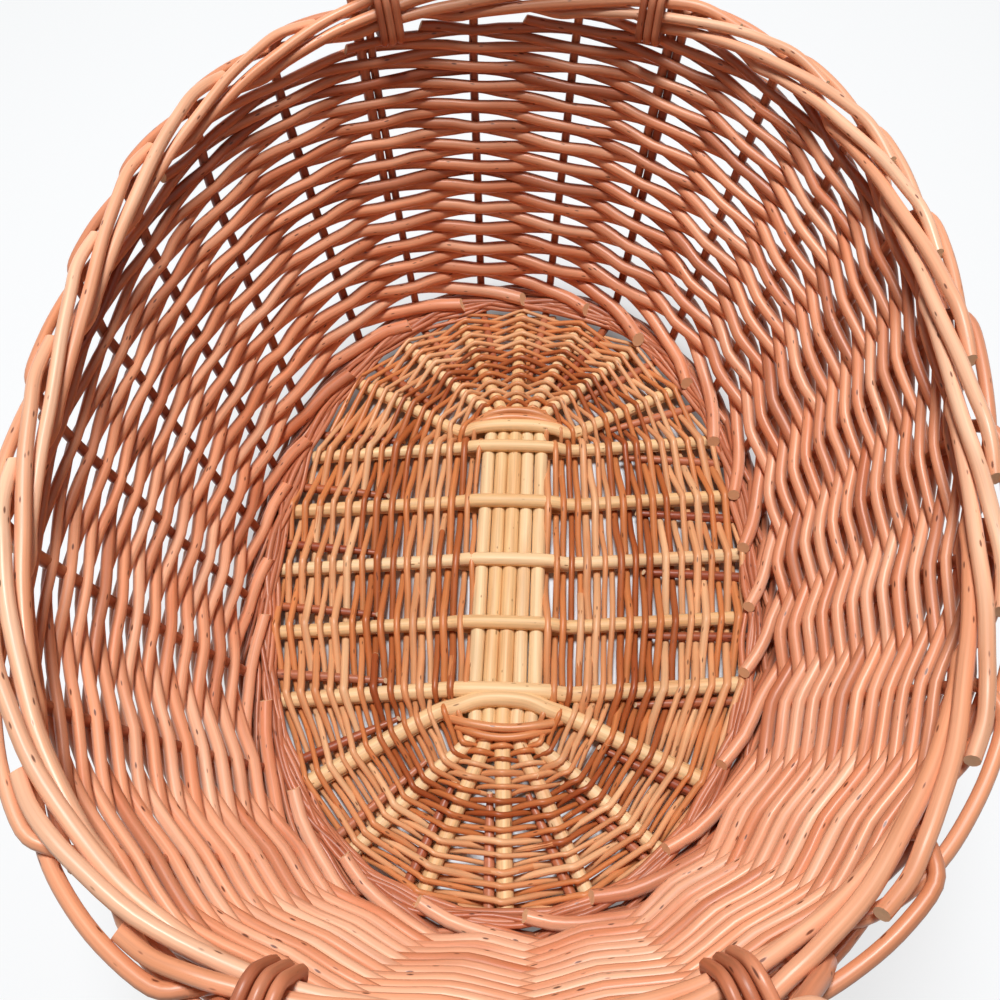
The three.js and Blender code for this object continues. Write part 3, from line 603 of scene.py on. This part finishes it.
# %% Floor weavers
FLOOR_ROWS = 26
ROW_SPREAD = 0.95
ROW_NOISE = 0.10
LAST_SHARE = 1.02
WEAVER_THIN, WEAVER_THICK = 2.7, 3.7
FAN_SLIMNESS = 0.76
MOST_SWING = 5.1
RODS_PER_START = 15
ROD_OVERLAP, JOIN_STAGGER = 4, 0.35
EDGE_ROOM = 0.2
BUTT_LENGTH = 46.0
MOST_PAST_BUTT, PAST_BUTT_SWING = 0.4, 0.93
# Over or under, half length across the bundle and distance from the end stick
TIE_RODS = ((1, 25.0, 6.6), (-1, 22.0, 9.0), (1, 20.0, 10.6))
TIE_BEND = 5.0
TIE_CLEAR = LONG_STICK_DIAMETER / 2 + 1.6
rng = np.random.default_rng(21)


def running_length(points):
    """How far along a line each of its points is."""
    return np.concatenate([[0], np.cumsum(np.linalg.norm(np.diff(points, axis=0), axis=1))])


def along_path(path, share):
    """The point at a share of the length of a path of straight stretches."""
    length = running_length(path)
    return np.array([np.interp(share * length[-1], length, path[:, axis]) for axis in range(3)])


def stretches(count, parts, overlap):
    """Slices that cut a line of count points into parts, each of which runs on past its cut."""
    cuts = np.linspace(0, count - 1, parts + 1).astype(int)
    return [slice(a, b + overlap) for a, b in zip(cuts[:-1], cuts[1:])]


floor_rods = []
for start in (0, 1):
    crossings = np.arange(0, STAKE_COUNT * FLOOR_ROWS // 2 + 1)
    rod_share = crossings / len(crossings) * RODS_PER_START / 2 + JOIN_STAGGER * start
    thick_at = np.abs((rod_share % 1) * 2 - 1)
    thick_here = mix(WEAVER_THIN, WEAVER_THICK, thick_at)
    path, thickness = [], []
    for step, thick in zip(crossings, thick_here):
        index = (step + start * STAKE_COUNT // 2) % STAKE_COUNT
        past_end = index % (STAKE_COUNT // 2)
        in_fan = min(past_end, STAKE_COUNT // 2 - past_end) <= LONG_STICK_REACH + 1
        thick = thick * (FAN_SLIMNESS if in_fan else 1.0)
        row = step / STAKE_COUNT * 2
        share = (row + 0.5 + rng.normal(0, ROW_NOISE)) / (FLOOR_ROWS + EDGE_ROOM)
        share = min(share ** ROW_SPREAD, LAST_SHARE)
        stick = ribs[index]["path"]
        at = along_path(stick, share)
        sign = 1 if (index + start) % 2 else -1
        swing = np.array((0, 0, sign * min(ribs[index]["radius"] + thick / 2, MOST_SWING)))
        following = along_path(ribs[(index + 1) % STAKE_COUNT]["path"], share)
        path.append(at + swing)
        if (1 - share) * np.linalg.norm(stick[-1] - stick[0]) < BUTT_LENGTH:
            gap = np.linalg.norm(following - at)
            past_butt = mix(at, following, min(STAKE_DIAMETER / gap, MOST_PAST_BUTT))
            path.append(past_butt + swing * PAST_BUTT_SWING)
            thickness.append(thick)
        path.append((path[-1] + following) / 2 * (1, 1, 0) + (0, 0, BASE_MIDDLE + rng.normal(0, 0.3)))
        thickness += [thick, thick]
    path, thickness = np.array(path), np.array(thickness)
    for stretch in stretches(len(path), RODS_PER_START, ROD_OVERLAP):
        thick_share = rng.uniform(0.92, 1.08)
        floor_rods.append(rod(path[stretch], thickness[stretch] * thick_share, rng.uniform(0.0, 0.95)))
for end in (1, -1):
    for lift, across_half, step_out in TIE_RODS:
        tie_x = np.linspace(-across_half, across_half, 7)
        tie_y = end * (END_STICK_Y + step_out - TIE_BEND * (tie_x / across_half) ** 2)
        tie_z = BASE_MIDDLE + lift * TIE_CLEAR * (1 - 0.9 * (tie_x / across_half) ** 4)
        points = np.stack([tie_x, tie_y, tie_z], axis=1)
        floor_rods.append(rod(points, rng.uniform(3.4, 4.2), rng.uniform(0.4, 0.9)))
weave("floor_weavers", floor_rods, "floor_willow", ["base_weave"], sides=8, wander_length=25,
      unevenness=0.15, seed=5)

# %% [markdown]
# Stakes and border. Each of the 24 stakes is one rod: its butt lies beside a floor stick, it bends up at
# the floor's edge, stands in the wall, and its top is laid down into the border. There it leans out past
# the next stake, dives in under that one's top, climbs the inner side and is cut off on top. Every stake
# takes the same lanes one place on, which plaits the border, so one table of the lanes is enough.

# %% Where the stakes stand
STAKE_SETTING = 0.4
STAKE_LEAN = 0.17
NEAR_PLACE, NEAR_REACH = 10.5, 3.9
NEAR_FLOOR_SHIFT, NEAR_BORDER_SHIFT = 0.22, 0.36
LOOSEST_PLACE = 11.0


def nearness(place):
    """0 to 1: how near a place is to the near right, where stakes stand closer to their ribs."""
    away = np.mod(np.asarray(place, float) - NEAR_PLACE + STAKE_COUNT / 2, STAKE_COUNT) - STAKE_COUNT / 2
    return 1 / (1 + (away / NEAR_REACH) ** 4)


def border_s(place):
    """Where a stake, or a place between stakes, is along the border."""
    return place + STAKE_SETTING + STAKE_LEAN - NEAR_BORDER_SHIFT * nearness(place)


def stake_s(index, z):
    """Where stake number index stands at height z. A number past a full turn gives such a place."""
    rib_s = np.array([r["s"] for r in ribs])[np.mod(index, STAKE_COUNT)]
    foot = rib_s + STAKE_COUNT * np.floor_divide(index, STAKE_COUNT)
    foot = foot + STAKE_SETTING - NEAR_FLOOR_SHIFT * nearness(index)
    return mix(foot, border_s(index), flare(z))


def facing(s, place):
    """1 at a place round the basket, falling to -1 opposite it."""
    return np.cos((s - place) / STAKE_COUNT * 2 * np.pi)


def looseness(s):
    """The border's lanes lie loose at the near end of the basket and tight elsewhere."""
    return (0.5 + 0.5 * facing(s, LOOSEST_PLACE)) ** 4


print("stake 0 stands at", np.round(stake_s(0, np.array([BASE_MIDDLE, BORDER_HEIGHT])), 2))

# %% Stakes and border
UPSETT_BEND = 7.0
STEM_BOTTOM, STEM_TOP = 28, 140
STAKE_TONE = 0.05
BORDER_ROD_DIAMETER = 4.4
LANE_TIGHT, LANE_LOOSE = 4.7, 6.0
OUTER_TIGHT, OUTER_LOOSE = 0.5, 0.72
CLEARANCE = 0.35
BUTT_TAPER = np.array([0.55, 0.9])
# Stakes travelled, side of the lane, then r and height in rod diameters
BORDER_LANES = np.array([
    (0.00, 0, -0.15, -2.30), (0.02, 0, -0.32, -0.80), (0.10, 0, 0.06, 0.35), (0.24, 1, -0.02, 0.62),
    (0.55, 1, 0.04, 0.48), (0.85, 1, 0.00, 0.16), (1.10, 1, -0.05, -0.25), (1.34, 1, -0.36, -0.65),
    (1.60, 0, -0.10, -1.05), (1.84, -1, 0.00, -0.95), (2.10, -1, -0.15, -0.58), (2.60, -1, -0.32, -0.03),
    (3.00, -1, -0.36, 0.36), (3.50, -1, -0.05, 0.90), (3.90, -1, 0.20, 1.27), (4.12, -1, 0.50, 1.34),
    (4.32, 0, -0.35, 1.05), (4.54, 0, -0.12, 0.55)])
# Stakes travelled, then the rod's diameter and tone: slim and tan outside, fuller and paler inside,
# where the paler tone is a painted highlight on the top of the border, which faces the lamp
BORDER_TAPER = np.array([
    (0.0, 3.9, 0.30), (0.3, 3.7, 0.42), (1.3, 3.8, 0.50), (2.0, 4.1, 0.58), (3.2, 4.3, 0.66),
    (4.2, 4.1, 0.62), (4.7, 3.9, 0.60)])
travelled, lane_side_sign, lane_out, lane_up = BORDER_LANES.T
lane_thick, lane_tone_and_highlight = [np.interp(travelled, BORDER_TAPER[:, 0], BORDER_TAPER[:, k]) for k in (1, 2)]
lane_z = BORDER_HEIGHT + lane_up * BORDER_ROD_DIAMETER
rng = np.random.default_rng(31)

stake_rods = []
for index in range(STAKE_COUNT):
    path = ribs[index]["path"]
    out = unit(path[-1] - path[-2])
    beside = np.array([out[1], -out[0], 0.0]) * (ribs[index]["radius"] + STAKE_DIAMETER / 2 + CLEARANCE)
    butt = path[-1] - out * BUTT_LENGTH + beside
    foot = stake_s(index, BASE_MIDDLE)
    start = wall(foot, BASE_MIDDLE, -UPSETT_BEND)
    corner = wall(foot, BASE_MIDDLE)
    top_z = BASE_MIDDLE + UPSETT_BEND
    top = wall(stake_s(index, top_z), top_z)
    bend = [start * (1 - t) ** 2 + corner * 2 * t * (1 - t) + top * t ** 2 for t in (0, 0.35, 0.7, 1)]
    flat = between(butt, start, (0, 0.35, 0.7))
    stem_z = np.linspace(STEM_BOTTOM, STEM_TOP, 8)
    stem = wall(stake_s(index, stem_z), stem_z, rng.normal(0, 0.4, len(stem_z)))
    lane_s = border_s(index + travelled)
    loose = looseness(lane_s)
    outer_share = mix(OUTER_TIGHT, OUTER_LOOSE, loose)
    lane_side = lane_side_sign * np.where(lane_side_sign > 0, outer_share, 1.0)
    half_width = mix(LANE_TIGHT, LANE_LOOSE, loose)
    lanes = wall(lane_s, lane_z, lane_side * half_width + lane_out * BORDER_ROD_DIAMETER)
    points = np.vstack([flat, bend, stem, lanes])
    low_count = len(points) - len(lanes)
    rising = np.linspace(STAKE_DIAMETER, STAKE_TOP_DIAMETER, low_count)
    rising[:2] = STAKE_DIAMETER * BUTT_TAPER
    thickness = np.concatenate([rising, lane_thick])
    # Painted highlight: the inner lanes on top of the border are painted paler, where they face the lamp
    tone = np.concatenate([np.full(low_count, STAKE_TONE), lane_tone_and_highlight]) + rng.normal(0, 0.13)
    stake_rods.append(rod(points, thickness * rng.uniform(0.94, 1.07), np.clip(tone, 0, 1)))
stake_nodes = [f"stake_{k:02d}" for k in range(1, STAKE_COUNT + 1)]
weave("stakes_and_border", stake_rods, "border_willow", stake_nodes, sides=12, smoothing=4,
      wander=0.7, wander_length=50, slant=0.6, seed=7)

# %% [markdown]
# The upsett. A few thin rods go round just above the floor's edge, outside two stakes and inside one, and
# hold the stakes upright. Inside they pass over the stakes' butts, outside they cover the bends, so their
# height swings as they go. Three rods start one stake apart and make three rounds. Six more fill the
# corner between the floor and the wall, inside the stakes.

# %% Upsett wale
UPSETT_SET, UPSETT_ROUNDS, UPSETT_OVERLAP = 3, 3, 3
UPSETT_ROD = 3.0
UPSETT_TONES = (0.05, 0.35)
# Height at the start, then the rise in each round
INSIDE_START, INSIDE_RISE = 11.4, 1.7
OUTSIDE_START, OUTSIDE_RISE, SECOND_STAKE_RISE = 2.4, 3.6, 1.3
INSIDE_ROOM = 0.8
FILLER_RODS = 6
FILLER_TURNS, FILLER_APART = 1.08, 4.3
FILLER_START, FILLER_RISE, FILLER_WAVE = 11.2, 0.7, 0.9
FILLER_IN, FILLER_STEP, FILLER_SWING = -6.2, 0.45, 1.1
rng = np.random.default_rng(41)
reach_out = (STAKE_DIAMETER + UPSETT_ROD) / 2
upsett_rods = []
for start in range(UPSETT_SET):
    step = np.arange(0, STAKE_COUNT * UPSETT_ROUNDS + 1)
    phase = (step + start) % UPSETT_SET
    round_now = step / STAKE_COUNT
    inside = phase == 0
    outside_z = OUTSIDE_START + OUTSIDE_RISE * round_now + SECOND_STAKE_RISE * (phase - 1)
    z = np.where(inside, INSIDE_START + INSIDE_RISE * round_now, outside_z)
    r = np.where(inside, -reach_out - INSIDE_ROOM, reach_out)
    place = stake_s(step, z)
    path = wall(place, z + rng.normal(0, 0.35, len(z)), r + rng.normal(0, 0.4, len(z)))
    middles = wall((place[1:] + place[:-1]) / 2, (z[1:] + z[:-1]) / 2, (r[1:] + r[:-1]) / 2)
    full = np.empty((2 * len(path) - 1, 3))
    full[0::2], full[1::2] = path, middles
    for stretch in stretches(len(full), UPSETT_ROUNDS, UPSETT_OVERLAP):
        points = full[stretch]
        taper = np.linspace(1.12, 0.72, len(points))
        upsett_rods.append(rod(points, UPSETT_ROD * taper, rng.uniform(*UPSETT_TONES)))
for k in range(FILLER_RODS):
    step = np.arange(0, STAKE_COUNT * FILLER_TURNS, 0.5) + FILLER_APART * k
    wave = np.cos(np.pi * (step + k))
    z = FILLER_START + FILLER_RISE * k + FILLER_WAVE * wave + rng.normal(0, 0.5, len(step))
    r = FILLER_IN - FILLER_STEP * (FILLER_RODS - k) + FILLER_SWING * wave + rng.normal(0, 0.4, len(step))
    taper = np.linspace(1.1, 0.7, len(step))
    upsett_rods.append(rod(wall(step, z, r), UPSETT_ROD * taper, rng.uniform(*UPSETT_TONES)))
weave("upsett_wale", upsett_rods, "wall_willow", ["upsett_wale"], sides=8, smoothing=4,
      wander=0.8, wander_length=25, unevenness=0.15, seed=9)

# %% [markdown]
# The wall. It is a French rand: 24 rods, one started behind each stake, thick end first. Each goes
# counter-clockwise, in front of one stake and behind the next, and climbs a row at each stake, because
# the rod beside it is one row lower. So the whole wall is one path, repeated with its start moved on by a
# stake. The rods taper, so rows are wide at the floor and narrow at the border. As on the real basket,
# the rods are thickest at the far end and bent most at the right. Their tone holds painted light: they
# are painted paler towards the near end, whose inside the lamp lights most, and darker in the top rows,
# which lie in the shade of the border.

# %% Wall weavers
WALL_ROWS = 26
ROW_CROWDING = 0.26
FIRST_ROW, LAST_ROW = 18.85, 151.0
ROD_SHARE, FAR_ROD_SHARE = 0.86, 1.08
BUTT_OVERHANG, BUTT_DROP = 0.7, 4
BUTT_SWING = np.array([2.5, 1.6])
ROW_STEP = 0.25
TIP_OVERRUN = 1.6
RIGHT_PLACE = 7
RIGHT_SWING, LEFT_SWING = 0.86, 0.56
SWING_FULLNESS = 0.09
WALL_TONE, UNDER_BORDER_SHADE, NEAR_PAINTED_LIGHT = 0.48, 0.25, 0.14
rng = np.random.default_rng(51)


def row_height(row):
    """Rods taper, so the rows crowd together towards the border."""
    share = row / WALL_ROWS
    return mix(FIRST_ROW, LAST_ROW, (1 + ROW_CROWDING) * share - ROW_CROWDING * share ** 2)


wall_rods = []
for index in range(STAKE_COUNT):
    last = WALL_ROWS + TIP_OVERRUN - rng.uniform(0.0, 1.2)
    butt_rows = -BUTT_OVERHANG * rng.uniform(0.8, 1.2) * np.array([1.0, 0.5])
    rows = np.concatenate([butt_rows, np.arange(0, last, ROW_STEP)])
    z = row_height(np.maximum(rows, 0)) + np.minimum(rows, 0) * BUTT_DROP
    passed = np.floor(rows).astype(int)
    part = rows - passed
    s = stake_s(index - passed, z) * (1 - part) + stake_s(index - passed - 1, z) * part
    pitch = row_height(np.maximum(rows, 0) + 0.5) - row_height(np.maximum(rows, 0) - 0.5)
    end_share = facing(s, 0)
    farness = np.maximum(end_share, 0)
    thick = pitch * mix(ROD_SHARE, FAR_ROD_SHARE, farness) * rng.uniform(0.94, 1.06)
    rightness = 0.5 + 0.5 * facing(s, RIGHT_PLACE)
    swing_share = mix(LEFT_SWING, RIGHT_SWING, rightness)
    stake_thick = mix(STAKE_DIAMETER, STAKE_TOP_DIAMETER, rows / WALL_ROWS)
    swing = swing_share * (stake_thick + thick) / 2
    in_and_out = np.cos(np.pi * rows) + SWING_FULLNESS * np.cos(3 * np.pi * rows)
    r = -swing * in_and_out / (1 + SWING_FULLNESS)
    r[:2] = -swing[:2] * rng.uniform(0.85, 1.15) * BUTT_SWING
    z = z + rng.normal(0, 0.25, len(z))
    # Painted shade: the top rows, which lie under the border, are painted darker
    tone = WALL_TONE + rng.normal(0, 0.10) - UNDER_BORDER_SHADE * (rows / WALL_ROWS) ** 4
    # Painted light: rods are painted paler towards the near end, where the lamp lights the inside of the
    # wall most
    tone = tone + NEAR_PAINTED_LIGHT * np.maximum(-end_share, 0)
    wall_rods.append(rod(wall(s, z, r), thick, np.clip(tone, 0, 1)))
weave("wall_weavers", wall_rods, "wall_willow", ["siding_weave"], sides=10, smoothing=2,
      wander=0.6, wander_length=60, unevenness=0.1, slant=0.5, seed=13)

# %% [markdown]
# Handles. A thick rod is bent into a bow at each end and its legs are driven down beside two stakes.
# Thinner rods are wound along the bow side by side, which is called roping. They taper to the bow's feet,
# and more rods bind the feet to the border beside each leg. A twisted texture on one tube would look flat
# from close by, so every strand is a rod of its own on a helix.

# %% Where the handles stand
HANDLE_STAKES = 3
BOW_DIAMETER, LEG_DIAMETER, LEG_LOW_DIAMETER, LEG_TIP_DIAMETER = 9.0, 4.5, 4.2, 3.4
LEG_DEPTH = 85.0
HANDLE_RISE = 58.0
HANDLE_SQUARENESS = 2.5
LEG_OFFSET = 4.4
LEG_TOP = 176.41
BOW_FOOT = 0.15


def stake_spacing(z):
    return mix(floor_oval["length"], rim_oval["length"], flare(z)) / STAKE_COUNT


def leg_point(index, z, onward=0.0):
    return wall(stake_s(index, z) - LEG_OFFSET / stake_spacing(z) + onward, z)


def bow_arch(left, right, lean_way, steps=40):
    angle = np.linspace(0, np.pi, steps + 1)
    across_share = -squared(np.cos(angle), HANDLE_SQUARENESS)
    rise_share = squared(np.sin(angle), HANDLE_SQUARENESS)
    risen = np.outer(rise_share, lean_way * HANDLE_RISE)
    return (left + right) / 2 + np.outer(across_share, (right - left) / 2) + risen


def bow_thickness(to_foot):
    """A bow is as slim as its legs at its feet, and full from BOW_FOOT of its length onwards."""
    return mix(LEG_DIAMETER, BOW_DIAMETER, np.minimum(to_foot / BOW_FOOT, 1) ** 2)


def evenly(points, count):
    """The same line with its points spaced evenly."""
    length = running_length(points)
    share = np.linspace(0, length[-1], count)
    return np.stack([np.interp(share, length, points[:, axis]) for axis in range(3)], axis=1)


print("stakes are", round(float(stake_spacing(BORDER_HEIGHT)), 1), "mm apart at the border")

# %% Handle bows and roping
FOOT_LEAN = {"far": 0.0, "near": 0.3}
STRAND_COUNT, STRAND_DIAMETER, STRAND_TURNS = 9, 4.1, 2.25
# The roping leaves the bow's feet bare, by this many steps of the arch
ARCH_STEPS = 200
ROPING_GAP = {"far": 5, "near": 11}
# A strand is slim at its ends and full from this share of its length onwards
ROPING_TIP, TIP_SHARE, TIP_CURVE = 0.16, 0.4, 0.7
rng = np.random.default_rng(61)
handle_legs = {}
for end_name, middle_stake in (("far", 0), ("near", STAKE_COUNT // 2)):
    first = (middle_stake - (HANDLE_STAKES + 1) // 2) % STAKE_COUNT
    second = (first + HANDLE_STAKES) % STAKE_COUNT
    handle_legs[end_name] = (first, second)
    left, right = leg_point(first, LEG_TOP, FOOT_LEAN[end_name]), leg_point(second, LEG_TOP)
    lean_way = unit(wall(middle_stake, BORDER_HEIGHT) - wall(middle_stake, BORDER_HEIGHT - LEG_DEPTH))
    arch = evenly(bow_arch(left, right, lean_way), 33)
    leg_z = BORDER_HEIGHT - LEG_DEPTH * np.array([1, 0.75, 0.5, 0.25, 0])
    first_leg = np.array([leg_point(first, z) for z in leg_z])
    second_leg = np.array([leg_point(second, z) for z in leg_z[::-1]])
    leg_thick = np.array([LEG_TIP_DIAMETER, LEG_LOW_DIAMETER] + [LEG_DIAMETER] * 3)
    arch_thick = bow_thickness(np.minimum(np.linspace(0, 1, len(arch)), np.linspace(1, 0, len(arch))))
    bow_points = np.vstack([first_leg, arch, second_leg])
    bow_rod = rod(bow_points, np.concatenate([leg_thick, arch_thick, leg_thick[::-1]]), 0.3)
    weave(f"{end_name}_handle_bow", [bow_rod], "wall_willow", [f"{end_name}_handle_bow"],
          sides=14, wander=0.3, slant=0.5, seed=15)
    bare = ROPING_GAP[end_name]
    line = evenly(evenly(arch, ARCH_STEPS + 1)[bare:-bare], 65)
    plane = unit(np.cross(right - left, lean_way))
    normal = np.cross(plane, unit(np.gradient(line, axis=0)))
    share = np.linspace(0, 1, len(line))
    to_tip = np.minimum(share, 1 - share)
    fullness = np.minimum(to_tip / ROPING_TIP, 1) ** TIP_CURVE
    strand_thick = STRAND_DIAMETER * mix(TIP_SHARE, 1, fullness)
    ride_out = (bow_thickness((bare + to_tip * (ARCH_STEPS - 2 * bare)) / ARCH_STEPS) + strand_thick) / 2
    strands = []
    for k in range(STRAND_COUNT):
        angle = 2 * np.pi * (k / STRAND_COUNT + STRAND_TURNS * share)
        upward, sideways = ride_out * np.cos(angle), ride_out * np.sin(angle)
        helix = line + normal * upward[:, None] + plane * sideways[:, None]
        taper = np.linspace(1.08, 0.92, len(line))
        strands.append(rod(helix, strand_thick * taper, rng.uniform(0.35, 0.9)))
    weave(f"{end_name}_handle_wrap", strands, "wall_willow", [f"{end_name}_handle_wrap"],
          sides=8, smoothing=2, wander=0.3, seed=17)

# %% Handle bindings
BINDING_DIAMETER = 3.5
BINDING_TURNS = 3
BINDING_SQUARENESS = 5.0
BINDING_STEP = 3.7
BINDING_SHIFT = {"far": 0.0, "near": 0.18}
BORDER_TOP, BORDER_BOTTOM = 170.36, 154.96
# Room for the lanes, in rod diameters
INNER_ROOM, OUTER_ROOM = 0.2, 0.15
# Each turn goes a little more than once round, and its ends lie together under the border
TURN_FROM, TURN_TO = -0.6 * np.pi, 1.45 * np.pi
reach_round = BINDING_DIAMETER / 2 + CLEARANCE
lane_edge = LANE_TIGHT + BORDER_ROD_DIAMETER / 2 + reach_round
inner_r = -lane_edge - INNER_ROOM * BORDER_ROD_DIAMETER
outer_r = lane_edge + OUTER_ROOM * BORDER_ROD_DIAMETER
low_z, high_z = BORDER_BOTTOM - reach_round, BORDER_TOP + reach_round
spacing = stake_spacing(BORDER_HEIGHT)
clear = (LEG_DIAMETER + BINDING_DIAMETER) / 2 + 2 * CLEARANCE
angle = np.linspace(TURN_FROM, TURN_TO, 44)
turn_r = (inner_r + outer_r) / 2 + (outer_r - inner_r) / 2 * squared(np.cos(angle), BINDING_SQUARENESS)
turn_z = (low_z + high_z) / 2 + (high_z - low_z) / 2 * squared(np.sin(angle), BINDING_SQUARENESS)
for end_name, (first, second) in handle_legs.items():
    turns = []
    for index, inward in ((first, 1), (second, -1)):
        stake = stake_s(index, BORDER_HEIGHT)
        leg_edge = stake if inward > 0 else stake - LEG_OFFSET / spacing
        for turn_number in range(BINDING_TURNS):
            s = leg_edge + inward * (clear + turn_number * BINDING_STEP) / spacing
            s += BINDING_SHIFT[end_name] if inward > 0 else 0.0
            thick = BINDING_DIAMETER * rng.uniform(0.92, 1.06)
            turns.append(rod(wall(s, turn_z, turn_r), thick, rng.uniform(0.1, 0.3)))
    binding_nodes = [f"{end_name}_handle_binding_{k}" for k in range(1, 5)]
    weave(f"{end_name}_handle_bindings", turns, "wall_willow", binding_nodes,
          sides=8, smoothing=2, wander=0.2, seed=19)

# %% [markdown]
# Floor, light and camera. The basket stands on a plain pale floor in a faint even light, under one soft
# lamp that hangs nearly overhead, a little to the far side, so that the inside of the near wall is
# brightest. A lit floor alone would look grey, so the camera sees it mixed with white around the basket.
# Under the basket it stays as lit, so that the gaps between rods keep their shadow.

# %% Studio
PALE_FLOOR = "#EDF3F8"
WHITE = (1, 1, 1, 1)
EVEN_LIGHT = 0.09
FLOOR_HALF = 4.0
BASKET_REACH = (0.122, 0.165, 1.0)
LIFT_RANGE = (0.9, 1.1, 0.0, 0.75)
LAMP_AT, LAMP_AIM = Vector((-0.06, 0.2, 1.18)), Vector((0, 0, 0.08))
LAMP_SIZE, LAMP_POWER = 0.32, 14.0


def seen_rays(tree):
    """1 for what is seen directly, mirrored or through something, 0 for what lights the object."""
    rays = add_node(tree, "ShaderNodeLightPath").outputs
    seen = rays["Is Camera Ray"]
    for ray in ("Is Glossy Ray", "Is Transmission Ray"):
        seen = add_node(tree, MATH, [seen, rays[ray]], operation="MAXIMUM")
    return seen


world = bpy.data.worlds.new("White studio")
bpy.context.scene.world = world
sky = empty_tree(world)
even_light = add_node(sky, "ShaderNodeBackground", {"Color": WHITE, "Strength": EVEN_LIGHT})
backdrop = add_node(sky, "ShaderNodeBackground", {"Color": linear(PALE_FLOOR), "Strength": 1.0})
mixed = add_node(sky, "ShaderNodeMixShader", [seen_rays(sky), even_light, backdrop])
add_node(sky, "ShaderNodeOutputWorld", {"Surface": mixed})

floor_mesh = bpy.data.meshes.new("studio_floor")
floor_corners = [(x * FLOOR_HALF, y * FLOOR_HALF, 0) for x, y in ((-1, -1), (1, -1), (1, 1), (-1, 1))]
floor_mesh.from_pydata(floor_corners, [], [(0, 1, 2, 3)])
studio_floor = bpy.data.objects.new("studio_floor", floor_mesh)
in_scene.link(studio_floor)
floor_paint = bpy.data.materials.new("Pale matt studio paint, rolled")
paint = empty_tree(floor_paint)
matt = add_node(paint, "ShaderNodeBsdfPrincipled", {"Base Color": linear(PALE_FLOOR), "Roughness": 0.9})
glow = add_node(paint, "ShaderNodeEmission", {"Color": WHITE, "Strength": 1.0})
floor_spot = add_node(paint, "ShaderNodeTexCoord").outputs["Object"]
from_basket = add_node(paint, VECTOR_MATH, [floor_spot, BASKET_REACH], operation="DIVIDE")
from_basket = add_node(paint, VECTOR_MATH, [from_basket], operation="LENGTH").outputs["Value"]
clear_of_it = add_node(paint, MAP_RANGE, [from_basket, *LIFT_RANGE])
lifted = add_node(paint, MATH, [seen_rays(paint), clear_of_it], operation="MULTIPLY")
painted = add_node(paint, "ShaderNodeMixShader", [lifted, matt, glow])
add_node(paint, "ShaderNodeOutputMaterial", {"Surface": painted})
floor_mesh.materials.append(floor_paint)

lamp = bpy.data.lights.new("soft_window", "AREA")
lamp.shape = "DISK"
lamp.size = LAMP_SIZE
lamp.energy = LAMP_POWER
lamp_object = bpy.data.objects.new("soft_window", lamp)
lamp_object.location = LAMP_AT
lamp_object.rotation_euler = (LAMP_AIM - LAMP_AT).to_track_quat("-Z", "Y").to_euler()
in_scene.link(lamp_object)
print("lamp of", lamp.energy, "W at", [round(v, 2) for v in LAMP_AT])

# %% Camera
FOCAL_PIXELS, FRAME_PIXELS, SENSOR = 900.0, 1000.0, 36.0
CAMERA_DOWN = math.radians(61.2)
CAMERA_BACK, CAMERA_UP, CAMERA_ACROSS = 176.7, 389.9, -2.6
CAMERA_ROLL = math.radians(-4.14)
BASKET_YAW = math.radians(-6.23)
turn_back = Matrix.Rotation(-BASKET_YAW, 4, "Z")
stand = Matrix.Translation(Vector((CAMERA_ACROSS, -CAMERA_BACK, CAMERA_UP)) * MM)
tilt = Matrix.Rotation(math.pi / 2 - CAMERA_DOWN, 4, "X") @ Matrix.Rotation(CAMERA_ROLL, 4, "Z")
camera = bpy.data.cameras.new("camera")
camera.sensor_width = SENSOR
camera.lens = SENSOR * FOCAL_PIXELS / FRAME_PIXELS
camera.clip_start = 0.01
camera_object = bpy.data.objects.new("camera", camera)
camera_object.matrix_world = turn_back @ stand @ tilt
in_scene.link(camera_object)
bpy.context.scene.camera = camera_object
bpy.context.scene.view_settings.view_transform = "Standard"
place = camera_object.matrix_world.translation
print("camera", [round(v, 4) for v in place], "lens", camera.lens)

# %% Update the scene
bpy.context.view_layer.update()
